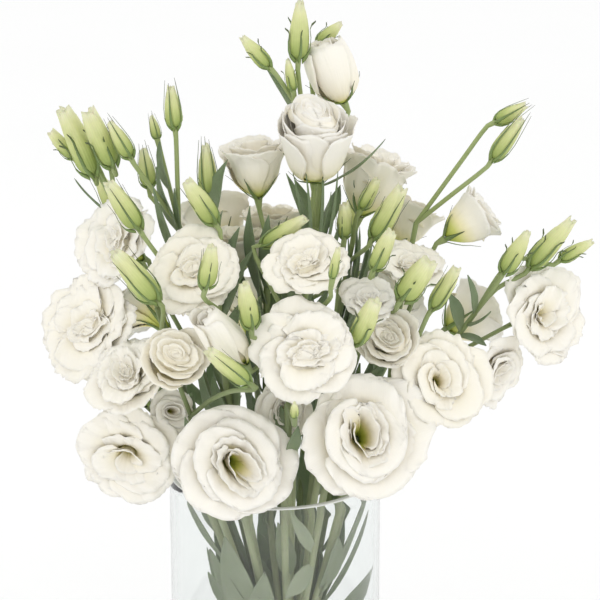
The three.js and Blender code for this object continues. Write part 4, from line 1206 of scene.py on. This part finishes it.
# %% One petal
PROFILE_POINTS = 40
WIDTH_ALONG = ([0, 0.12, 0.3, 0.5, 0.7, 0.85, 1], [0.16, 0.3, 0.56, 0.82, 0.98, 1, 0.94])
WIDEST, WIDEST_SHARE = 2.4, 0.95  # the widest half angle of a petal, and as a share of a layer's turn
STEP_IN = 0.022  # how far each petal of a layer lies inside the one before
FLARE = 0.05  # how far the sides of a petal turn outwards
BROAD, BROAD_CALM = 1.1, 0.35  # a petal wider than this has calmer ruffles, by this factor
BASE_THICKNESS, EDGE_THINNER = 0.5, 0.28


def petal(rng, layer, radius, depth, turn, place, shared, ruffle, rows, columns):
    """A grid of points about the flower's axis, with its thickness and its numbers along and across."""
    count, profile, width, wavy, roundness, lap = layer
    calm = BROAD_CALM if width > BROAD else 1
    reach, rise = 1 + rng.uniform(-0.14, 0.07), 1 + rng.uniform(-0.06, 0.04) * calm
    roundness = roundness * rng.uniform(0.6, 1.5)
    path = along_path([(r * radius * (reach if i else 1), h * depth * rise)
                       for i, (r, h) in enumerate(profile)], PROFILE_POINTS)
    places = np.linspace(0, 1, PROFILE_POINTS)
    across, along = np.meshgrid(np.linspace(-1, 1, columns + 1), np.linspace(0, 1, rows + 1))
    teeth = 0.04 * ripples(rng, across, 2) + 0.026 * ripples(rng, across * 4, 4) * min(ruffle, 1.4)
    run = along * (1 - roundness * np.abs(across) ** 3 * along ** 1.5 + teeth * along ** 4)
    slope = np.gradient(path, axis=0)
    slope /= np.linalg.norm(slope, axis=1, keepdims=True)
    r, h, dr, dh = (np.interp(run, places, column) for column in (*path.T, *slope.T))
    half = width * radius * np.interp(along, *WIDTH_ALONG) * (1 + rng.uniform(-0.08, 0.08))
    widest = min(WIDEST, WIDEST_SHARE * TURN / count) if count > 1 else TURN / 2
    angle = turn + np.clip(across * half / np.maximum(r, 0.04 * radius), -widest, widest)
    inward = (STEP_IN * place - lap * across) * radius * np.minimum(1, along * 2)
    grip = np.clip((along - 0.35) / 0.65, 0, 1) ** 2.6
    sides = np.abs(across) ** 3 * np.clip((along - 0.2) / 0.8, 0, 1)
    wave = (0.75 * shared(angle) + 0.5 * calm * ripples(rng, across * 1.7, 4)) * grip
    wave = wave + 0.5 * ripples(rng, across * 4, 4) * along ** 8
    wave = wave + 0.22 * shared(angle + 1) * along * (1 - along ** 4)
    wave = wave + 0.7 * ripples(rng, along * 2 + np.sign(across), 3) * sides
    inward = inward + wavy * ruffle * radius * wave - FLARE * radius * across ** 2 * along ** 4
    out = r - dh * inward
    grid = np.stack([np.cos(angle) * out, np.sin(angle) * out, h + dr * inward], axis=-1)
    return grid, BASE_THICKNESS - EDGE_THINNER * along ** 2, along, across


print("profile points of a petal:", PROFILE_POINTS)

# %% [markdown]
# A flower is built about its own axis and then set on its seat. Its inner layers are pressed together
# across one direction, because a throat is a long slot, not a round hole, and they lean to the side where
# the photograph shows it. Small flowers and those at the back get a coarser grid, which saves triangles
# where nobody looks closely.

# %% A whole flower
PETAL_SEED, PINCH, INNER_LAYERS = 100, 0.42, 3
FINE_GRID, PLAIN_GRID = (14, 26), (10, 18)
FINE_FROM, FRONT_OF = 16, 60  # a flower of a larger radius than this, in front of this, has a fine grid


def pinched(grid, slot, narrow):
    """The grid pressed together across a slot direction, so a throat is long and narrow."""
    along = np.array([math.cos(slot), math.sin(slot)])
    across = np.array([-math.sin(slot), math.cos(slot)])
    flat = grid[..., :2]
    pressed = (flat @ along)[..., None] * along + (flat @ across * narrow)[..., None] * across
    return np.concatenate([pressed, grid[..., 2:]], axis=-1)


def bloom_parts(name, number):
    """All the petals of one flower, each as a thin sheet in its place."""
    rim, _, radius, depth, form, ruffle, tone, eye = BLOOMS[name]
    rng = np.random.default_rng(PETAL_SEED + number)
    axis, seat = bloom_axis(name), bloom_seat(name)
    right, up = frame_about(axis)
    rows, columns = FINE_GRID if radius > FINE_FROM and rim[1] < FRONT_OF else PLAIN_GRID
    size = radius * WIDER.get(name, USUAL_WIDTH)
    parts, spin = [], rng.uniform(0, TURN)
    slot = math.radians(THROATS.get(name, rng.uniform(0, 180)))
    whole = ring_wave(rng)
    for index, layer in enumerate(dress_of(name)):
        count = layer[0]
        spin += math.pi / count + rng.uniform(-0.2, 0.2)
        shared = ring_wave(rng, whole)
        for k in range(count):
            turn, place = spin + TURN * (k + rng.uniform(-0.12, 0.12)) / count, 2 * k % count
            inner = min(index, INNER_LAYERS) / INNER_LAYERS
            grid, thick, along, across = petal(rng, layer, size, depth, turn, place, shared,
                                               ruffle * (1 - 0.5 * inner), rows, columns)
            late = LATE_WHITE.get(name, LATE_WHITE[form])
            paleness = along ** late if count > 1 else 0.5 + along / 2
            shift = np.clip(grid[..., 2:] / depth, 0, 1) ** 1.5 * radius * inner
            local = pinched(grid, slot, 1 - PINCH * inner) + shift * np.array([eye[0], eye[1], 0])
            placed = (seat + right * local[..., :1] + up * local[..., 1:2]
                      + axis * (local[..., 2:] + SEAT_GAP))
            numbers = {"tone": tone, "turn": turn * 3}
            parts.append(sheet_of(placed, thick, paleness, across, numbers))
    return parts


print("petals of the first flower:", len(bloom_parts("front_left", 0)))

# %% All the flowers
triangles = 0
for number, name in enumerate(BLOOMS):
    points, faces, numbers = joined(bloom_parts(name, number))
    piece = smooth_piece(f"petals_{name}", points, faces, PETAL, numbers)
    finish_piece(piece, f"bloom_{name}")
    triangles += 2 * len(faces)
print("triangles in petals:", triangles)

# %% [markdown]
# ## Buds
# A lisianthus bud is a twisted cone of rolled petals, held by five thin sepals. There are 36 of them, too
# many to model one by one, and alike enough to share a few shapes. So three buds and three sepals are
# made at unit size, a half thickness of 1 and a length of 1. The first bud is slim with a sharp tip, and
# each next one is blunter. Later, Geometry Nodes set them on the seats, turned and stretched by the
# numbers stored at each point.

# %% Buds at unit size
BUD_SEED, BUD_RINGS, BUD_COLUMNS = 40, 17, 30


def template(name, points, faces, numbers):
    """A shape to be copied later, at unit size and without a finish."""
    made = mesh_object(name, points, [], faces, numbers)
    made.data.shade_smooth()
    return made


def bud_template(number):
    rng = np.random.default_rng(BUD_SEED + number)
    twist, blunt, columns = 1.1 + 0.3 * number, 0.1 * number, BUD_COLUMNS
    profile = along_path([(0.3, 0.0), (0.84, 0.1), (1.0, 0.28), (0.86 + blunt / 2, 0.58),
                          (0.52 + blunt, 0.88), (0.4 + blunt, 1.0)], BUD_RINGS)
    rings = []
    for share, (r, h) in zip(np.linspace(0, 1, BUD_RINGS), profile):
        angles = np.arange(columns) * TURN / columns
        ridge = ((angles * 5 / TURN + twist * share) % 1.0)
        lobes = 1 + (0.04 + 0.16 * share) * (ridge - 0.5)
        lobes = lobes + 0.1 * share ** 10 * np.sin(angles * 5 + number)
        lift = h + share ** 6 * (0.03 * np.sin(angles * 2 + number) + 0.05 * (ridge - 0.5))
        rings.append(np.stack([np.cos(angles) * r * lobes, np.sin(angles) * r * lobes, lift], axis=1))
    inner = rings[-1] * (0.55, 0.55, 1) - (0, 0, 0.05)
    points = np.vstack([*rings, inner, [[0, 0, 0.9]], [[0, 0, -0.01]]])
    at = np.arange((BUD_RINGS + 1) * columns).reshape(-1, columns)
    nxt = np.roll(at, -1, axis=1)
    faces = np.stack([at[:-1], nxt[:-1], nxt[1:], at[1:]], axis=-1).reshape(-1, 4).tolist()
    top, low = at.size, at.size + 1
    faces += [(top, a, b) for a, b in zip(at[-1].tolist(), nxt[-1].tolist())]
    faces += [(low, b, a) for a, b in zip(at[0].tolist(), nxt[0].tolist())]
    along = np.clip(points[:, 2] + rng.normal(0, 0.01, len(points)), 0, 1)
    across = np.concatenate([np.tile(np.arange(columns) * 2 / columns - 1, BUD_RINGS + 1), [0, 0]])
    return template(f"bud_template_{number}", points, faces, {"along": along, "across": across})


print("rings of a bud:", BUD_RINGS)

# %% [markdown]
# A sepal is a narrow green blade with a raised back, so its skin is a ring of four points that runs along
# a path. The first sepal lies close along the bud past its tip, as on young buds, and the others let go
# and point outwards.

# %% Sepals at unit size
SEPAL_POINTS, SEPAL_WIDTH, SEPAL_THICKNESS = 10, 0.21, 0.08
SEPAL_NARROWING = ([0, 0.2, 0.5, 0.75, 1], [1, 1, 0.62, 0.36, 0.1])
SEPAL_TIPS = [(0.62, 1.08), (1.5, 0.66), (1.1, 0.84)]


def keel(path, widths, thick, outward):
    """A narrow blade with a raised back: rings of four points along a path, closed at both ends."""
    along = np.gradient(path, axis=0)
    along /= np.linalg.norm(along, axis=1, keepdims=True)
    side = np.cross(along, outward)
    side /= np.linalg.norm(side, axis=1, keepdims=True)
    back = np.cross(side, along)
    widths = np.asarray(widths)[:, None]
    thick = thick * (0.25 + 0.75 * widths / widths.max())
    rings = np.stack([path + side * widths, path + back * thick, path - side * widths,
                      path - back * thick * 0.3], axis=1)
    count = len(path)
    points = rings.reshape(-1, 3)
    at = np.arange(count * 4).reshape(count, 4)
    nxt = np.roll(at, -1, axis=1)
    skin = np.stack([at[:-1], at[1:], nxt[1:], nxt[:-1]], axis=-1).reshape(-1, 4)
    faces = np.vstack([skin, at[0][None], at[-1][::-1][None]])
    if np.dot(np.cross(points[1] - points[0], points[2] - points[0]), along[0]) > 0:
        faces = faces[:, ::-1]
    share = np.repeat(np.linspace(0, 1, count), 4)
    return points, faces, {"along": share, "across": np.tile([1, 0, -1, 0], count)}


def sepal_template(number):
    out, height = SEPAL_TIPS[number]
    path = along_path([(0.34, 0, -0.02), (0.95, 0, 0.13), (1.1, 0, 0.32), (1.0, 0, 0.55),
                       (out, 0, height)], SEPAL_POINTS)
    widths = SEPAL_WIDTH * np.interp(np.linspace(0, 1, SEPAL_POINTS), *SEPAL_NARROWING)
    points, faces, numbers = keel(path, widths, SEPAL_THICKNESS, np.array([1.0, 0, 0]))
    return template(f"sepal_template_{number}", points, faces.tolist(), numbers)


print("tips of the sepals:", SEPAL_TIPS)

# %% [markdown]
# A calyx is a ring of equal parts, which Geometry Nodes make best: the tree copies a sepal five times
# around the axis, each turned a fifth of a circle and made a little longer or shorter by a seeded random
# number.

# %% The calyx tree
def calyx_tree():
    inputs = [("Sepals", "Int"), ("Seed", "Int"), ("Finish", "Material")]
    tree, given, made = new_tree("calyx_ring", inputs)
    link, new = tree.links.new, tree.nodes.new
    place = new("GeometryNodePoints")
    link(given.outputs["Sepals"], place.inputs["Count"])
    step = new("ShaderNodeMath")
    step.operation = "DIVIDE"
    step.inputs[0].default_value = TURN
    link(given.outputs["Sepals"], step.inputs[1])
    angle = new("ShaderNodeMath")
    angle.operation = "MULTIPLY"
    link(new("GeometryNodeInputIndex").outputs[0], angle.inputs[0])
    link(step.outputs[0], angle.inputs[1])
    turn = new("FunctionNodeAxisAngleToRotation")
    turn.inputs["Axis"].default_value = (0, 0, 1)
    link(angle.outputs[0], turn.inputs["Angle"])
    length = new("FunctionNodeRandomValue")
    length.data_type = "FLOAT_VECTOR"
    length.inputs[0].default_value = (0.95, 0.9, 0.8)
    length.inputs[1].default_value = (1.1, 1.1, 1.15)
    link(given.outputs["Seed"], length.inputs["Seed"])
    copies = new("GeometryNodeInstanceOnPoints")
    link(place.outputs[0], copies.inputs["Points"])
    link(given.outputs["Geometry"], copies.inputs["Instance"])
    link(turn.outputs[0], copies.inputs["Rotation"])
    link(length.outputs[0], copies.inputs["Scale"])
    real = new("GeometryNodeRealizeInstances")
    link(copies.outputs[0], real.inputs[0])
    finish = new("GeometryNodeSetMaterial")
    link(real.outputs[0], finish.inputs["Geometry"])
    link(given.outputs["Finish"], finish.inputs["Material"])
    link(finish.outputs[0], made.inputs[0])
    return tree


CALYX_TREE = calyx_tree()
print("calyx tree:", len(CALYX_TREE.nodes), "nodes")

# %% [markdown]
# The seating tree puts a bud or a calyx on each point of a mesh. The point says which way it faces, how
# far it is turned and how it is stretched.

# %% The seating tree
def seating_tree():
    tree, given, made = new_tree("on_seats", [("Shape", "Object"), ("Finish", "Material")])
    link, new = tree.links.new, tree.nodes.new
    shape = new("GeometryNodeObjectInfo")
    link(given.outputs["Shape"], shape.inputs["Object"])
    facing = new("FunctionNodeAlignRotationToVector")
    facing.axis = "Z"
    link(named(tree, "facing", "FLOAT_VECTOR"), facing.inputs["Vector"])
    spin = new("FunctionNodeAxisAngleToRotation")
    spin.inputs["Axis"].default_value = (0, 0, 1)
    link(named(tree, "spin", "FLOAT"), spin.inputs["Angle"])
    both = new("FunctionNodeRotateRotation")
    both.rotation_space = "LOCAL"
    link(facing.outputs[0], both.inputs["Rotation"])
    link(spin.outputs[0], both.inputs["Rotate By"])
    copies = new("GeometryNodeInstanceOnPoints")
    link(given.outputs["Geometry"], copies.inputs["Points"])
    link(shape.outputs["Geometry"], copies.inputs["Instance"])
    link(both.outputs[0], copies.inputs["Rotation"])
    link(named(tree, "size", "FLOAT_VECTOR"), copies.inputs["Scale"])
    real = new("GeometryNodeRealizeInstances")
    link(copies.outputs[0], real.inputs[0])
    finish = new("GeometryNodeSetMaterial")
    link(real.outputs[0], finish.inputs["Geometry"])
    link(given.outputs["Finish"], finish.inputs["Material"])
    link(finish.outputs[0], made.inputs[0])
    return tree


SEATING_TREE = seating_tree()
print("seating tree:", len(SEATING_TREE.nodes), "nodes")

# %% [markdown]
# Now the buds of every stem are seated. YOUNG names the stems whose buds are all slim and sharp, with
# sepals close along them. The other stems take the three buds and the two open calyces in turn. The
# templates are removed at the end, because they are no part of the bunch.

# %% Seating the buds
VARIANTS, SEPALS, CALYX_SEED, SPIN_RATE = 3, 5, 3, 1.7
YOUNG = ("left_top", "rear_far_right")
bud_shapes = [bud_template(k) for k in range(VARIANTS)]
calyx_shapes = [run_tree(sepal_template(k), CALYX_TREE,
                         {"Sepals": SEPALS, "Seed": CALYX_SEED + k, "Finish": SEPAL})
                for k in range(VARIANTS)]


def seated(name, rows, shape, finish):
    """Copies of a shape at (seat, tip, half thickness) rows, as one plain mesh."""
    seats = np.array([seat for seat, _, _ in rows]) * MM
    numbers = {
        "facing": [unit(np.array(tip, float) - seat) for seat, tip, _ in rows],
        "size": [(girth * MM, girth * MM, math.dist(seat, tip) * MM) for seat, tip, girth in rows],
        "spin": [(sum(seat) * SPIN_RATE) % TURN for seat, _, _ in rows]}
    piece = mesh_object(name, seats, [], [], numbers)
    return run_tree(piece, SEATING_TREE, {"Shape": shape, "Finish": finish})


for number, (name, spray) in enumerate(SPRAYS.items()):
    rows = buds_of(spray)
    if not rows:
        continue
    bud, calyx = (0, 0) if name in YOUNG else (number % VARIANTS, 1 + number % 2)
    for label, shape, finish in (("buds", bud_shapes[bud], BUD), ("sepals", calyx_shapes[calyx], SEPAL)):
        finish_piece(seated(f"{label}_{name}", rows, shape, finish), f"stem_{name}")
for shape in bud_shapes + calyx_shapes:
    bpy.data.objects.remove(shape)
print("buds seated:", sum(len(buds_of(spray)) for spray in SPRAYS.values()))

# %% [markdown]
# ## The calyx under each flower
# Under an open flower the five sepals are long and thin. They lie on the outer petals and let go near the
# tip. Copies of one calyx would stand off some flowers and cut into others. So each sepal's path is the
# outer layer's own profile moved out by a hair, and it touches whatever form the flower has.

# %% Calyces
SEPAL_SEED, OUTLINE_POINTS, LONG_SEPAL_POINTS = 500, 30, 11
SEPAL_REACH = {"open": 0.6, "cup": 0.55, "rose": 0.5, "closed": 0.5}
LONG_NARROWING = ([0, 0.3, 0.7, 1], [1, 0.95, 0.45, 0.12])
HALF_WIDTH, HALF_BACK = 1.5, 0.45


def calyx_parts(name, number):
    """The five sepals of one flower, each from the seat up along the outer petals."""
    _, _, radius, depth, form = BLOOMS[name][:5]
    rng = np.random.default_rng(SEPAL_SEED + number)
    axis, seat = bloom_axis(name), bloom_seat(name)
    right, up = frame_about(axis)
    outer = along_path([(r * radius, h * depth) for r, h in dress_of(name)[0][1]], OUTLINE_POINTS)
    parts, spin = [], rng.uniform(0, TURN)
    for k in range(SEPALS):
        turn = spin + TURN * k / SEPALS + rng.uniform(-0.15, 0.15)
        out = right * math.cos(turn) + up * math.sin(turn)
        share = SEPAL_REACH[form] * rng.uniform(0.75, 1.1)
        rows = outer[:max(4, int(share * OUTLINE_POINTS))]
        flat = [(1.2, -1.5), (2.4, 0.2)] + [(r + 1.1, h - 0.3) for r, h in rows[2:-2:3]]
        last_r, last_h = flat[-1]
        flat += [(last_r + 2.4, last_h + 2.6), (last_r + 3.2 + rng.uniform(0, 2), last_h + 5)]
        path = along_path([seat + out * r + axis * h for r, h in flat], LONG_SEPAL_POINTS)
        widths = HALF_WIDTH * np.interp(np.linspace(0, 1, LONG_SEPAL_POINTS), *LONG_NARROWING)
        parts.append(keel(path, widths, HALF_BACK, out - axis * 0.3))
    return parts


for name, spray in SPRAYS.items():
    parts = [part for bloom in spray["blooms"]
             for part in calyx_parts(bloom, list(BLOOMS).index(bloom))]
    points, faces, numbers = joined(parts)
    piece = smooth_piece(f"calyx_{name}", points, faces, SEPAL, numbers)
    finish_piece(piece, f"stem_{name}")
print("sepals under the flowers:", SEPALS * len(BLOOMS))

# %% [markdown]
# ## Leaves
# Lisianthus leaves are smooth ovals with a bloom of wax, folded a little along the midrib, that clasp the
# stem.
# A flat card with a picture of a leaf would do from afar, but these are seen close through glass. So each is
# a thin closed sheet on a grid, arched, folded and turned away from the middle of the vase. Its number
# `tone` is painted light: how much paler the leaf is painted inside the vase, most at the front.

# %% One leaf
LEAF_WIDTH = ([0, 0.08, 0.25, 0.45, 0.7, 0.9, 1], [0.2, 0.4, 0.85, 1, 0.8, 0.35, 0.03])
LEAF_COLUMNS, LEAF_ROWS = 9, 15
LEAF_THICKNESS, TIP_THINNER = 0.7, 0.3
ARCH, FOLD, LEAF_WAVE, SWAY = 0.2, 0.18, 0.08, 0.25
TURNED_FRONT, TURNED_BEFORE = 0.8, 10  # how far leaves turn to the front, and in front of what depth
# Painted light: leaves in the vase below IN_VASE_BELOW are painted paler towards the front, from PALE_FROM
# over PALE_OVER mm, and never less than LEAST_PALE.
IN_VASE_BELOW, PALE_FROM, PALE_OVER, LEAST_PALE = VASE_HEIGHT - 10, 20, 50, 0.1


def point_at(points, height):
    """The point of a path at a height, or its end where the path doesn't reach it."""
    for a, b in zip(points, points[1:]):
        if a[2] <= height <= b[2]:
            return a + (b - a) * (height - a[2]) / (b[2] - a[2])
    return points[-1]


def leaf_part(root, tip, half_width, rng):
    chord = tip - root
    along_way = unit(chord)
    normal = unit(np.array([tip[0] + root[0], tip[1] + root[1], 0.0]) + 1e-6)
    if tip[1] < TURNED_BEFORE:
        normal = normal - np.array([0, TURNED_FRONT, 0])
    normal = unit(normal - along_way * (normal @ along_way))
    side = np.cross(along_way, normal)
    across, along = np.meshgrid(np.linspace(-1, 1, LEAF_COLUMNS), np.linspace(0, 1, LEAF_ROWS))
    half = half_width * np.interp(along, *LEAF_WIDTH)
    arch = np.linalg.norm(chord) * ARCH * along * (1 - along)
    fold = half * (FOLD + 0.1 * np.abs(across)) * np.abs(across)
    ripple = np.sin(along * 9 + rng.uniform(0, TURN))
    wave = LEAF_WAVE * half_width * ripple * across ** 2 * np.sign(across)
    sway = half_width * SWAY * np.sin(along * math.pi) * rng.uniform(-1, 1)
    grid = (root + chord * along[..., None] + side * (across * half + sway)[..., None]
            + normal * (arch + fold + wave)[..., None])
    # painted light: a leaf in the vase is painted paler, most at the front
    painted_light = np.clip((PALE_FROM - root[1]) / PALE_OVER, LEAST_PALE, 1) * (root[2] < IN_VASE_BELOW)
    thickness = LEAF_THICKNESS - TIP_THINNER * along
    return sheet_of(grid, thickness, along, across, {"tone": painted_light})


print("points of a leaf's grid:", LEAF_COLUMNS * LEAF_ROWS)

# %% [markdown]
# Besides the leaves of the table, the rest of the foliage grows by rule: in pairs up each stem, with every
# pair turned across the last. Inside the vase only one leaf of a pair is kept, at the back alone, and its
# tip stays off the glass. At the front the table gives the leaves that the photograph shows.

# %% Leaves
LEAF_SEED, LEAF_REACH = 900, 53
LOW_START, HIGH_START, PAIR_SPACING = 140, 262, 62


def paired_leaves(points, rng):
    """Leaves in crossed pairs up a stem: root, tip and half width of each."""
    rows, turn = [], rng.uniform(0, math.pi)
    lowest = LOW_START if points[2][1] > 0 else HIGH_START
    for height in np.arange(lowest + rng.uniform(0, 30), points[-1][2] - 8, PAIR_SPACING):
        root = point_at(points, height)
        above = unit(point_at(points, height + 6) - root)
        across = unit(np.cross(above, (math.cos(turn), math.sin(turn), 0)))
        turn += math.pi / 2 + rng.uniform(-0.5, 0.5)
        low = height < VASE_HEIGHT - 20
        for sign in (1, -1)[:1 if low else 2]:
            length = rng.uniform(34, 54) if low else rng.uniform(26, 38)
            lean = math.radians(rng.uniform(8, 24) if low else rng.uniform(20, 36))
            tip = root + length * (above * math.cos(lean) + across * sign * math.sin(lean))
            reach = math.hypot(tip[0], tip[1])
            if tip[2] < VASE_HEIGHT + 10 and reach > LEAF_REACH:
                tip[:2] *= LEAF_REACH / reach
            rows.append((root, tip, length * rng.uniform(0.12, 0.17)))
    return rows


for number, (name, spray) in enumerate(SPRAYS.items()):
    rng = np.random.default_rng(LEAF_SEED + number)
    stem = grown[name][0]["points"]
    rows = [(point_at(grown[name][branch]["points"], height), np.array(tip, float), half)
            for branch, height, tip, half in spray.get("leaves", [])]
    parts = [leaf_part(root, tip, half, rng) for root, tip, half in rows + paired_leaves(stem, rng)]
    points, faces, numbers = joined(parts)
    piece = smooth_piece(f"leaves_{name}", points, faces, LEAF, numbers)
    finish_piece(piece, f"stem_{name}")
    print(f"leaves on {name}:", len(parts))

# %% [markdown]
# ## Floor, light and exposure
# The photograph is a high-key picture: white ground, white light from all sides and hardly a shadow. One
# strong lamp would carve the petals with hard shadows. A wide pale floor, a white sky and three big soft
# lamps keep them light. The standard view transform keeps white petals white.

# %% The floor
FLOOR_REACH, FLOOR_DROP = 9, -0.0005  # in metres; the drop keeps the floor off the foot of the vase


def floor_finish():
    material, nodes, links, base = shader("floor")
    clouds = noise_of(nodes, links, scale=4, detail=2)
    paper = blended(nodes, links, "MIX", clouds, (0.97, 0.975, 0.97, 1), (0.985, 0.985, 0.985, 1))
    links.new(paper, base.inputs["Base Color"])
    base.inputs["Roughness"].default_value = 0.9
    return material


corners = [(x * FLOOR_REACH, y * FLOOR_REACH, FLOOR_DROP) for x, y in ((-1, -1), (1, -1), (1, 1), (-1, 1))]
floor = mesh_object("floor", corners, [], [(0, 1, 2, 3)], {})
floor.data.materials.append(floor_finish())
print("floor:", 2 * FLOOR_REACH, "m wide")


# %% The lamps and the sky
def soft_lamp(name, place, turn, size, power):
    """A round lamp with its place and size in metres and its turn in degrees."""
    data = bpy.data.lights.new(name, "AREA")
    data.shape, data.size, data.energy = "DISK", size, power
    lamp = bpy.data.objects.new(name, data)
    lamp.location = place
    lamp.rotation_euler = [math.radians(angle) for angle in turn]
    bpy.context.scene.collection.objects.link(lamp)


soft_lamp("lamp_left", (-1.6, -1.3, 1.7), (52, 0, -50), size=1.4, power=3)
soft_lamp("lamp_front", (0.1, -2.3, 1.2), (70, 0, 0), size=2.0, power=2.4)
soft_lamp("lamp_right", (1.7, -0.9, 1.3), (62, 0, 62), size=1.2, power=2.5)
world = bpy.data.worlds.new("studio")
world.use_nodes = True
sky = world.node_tree.nodes["Background"]
sky.inputs["Color"].default_value = (1, 1, 1, 1)
sky.inputs["Strength"].default_value = 1.0
bpy.context.scene.world = world
bpy.context.scene.view_settings.view_transform = "Standard"
print("lamps:", [lamp.name for lamp in bpy.data.lights])
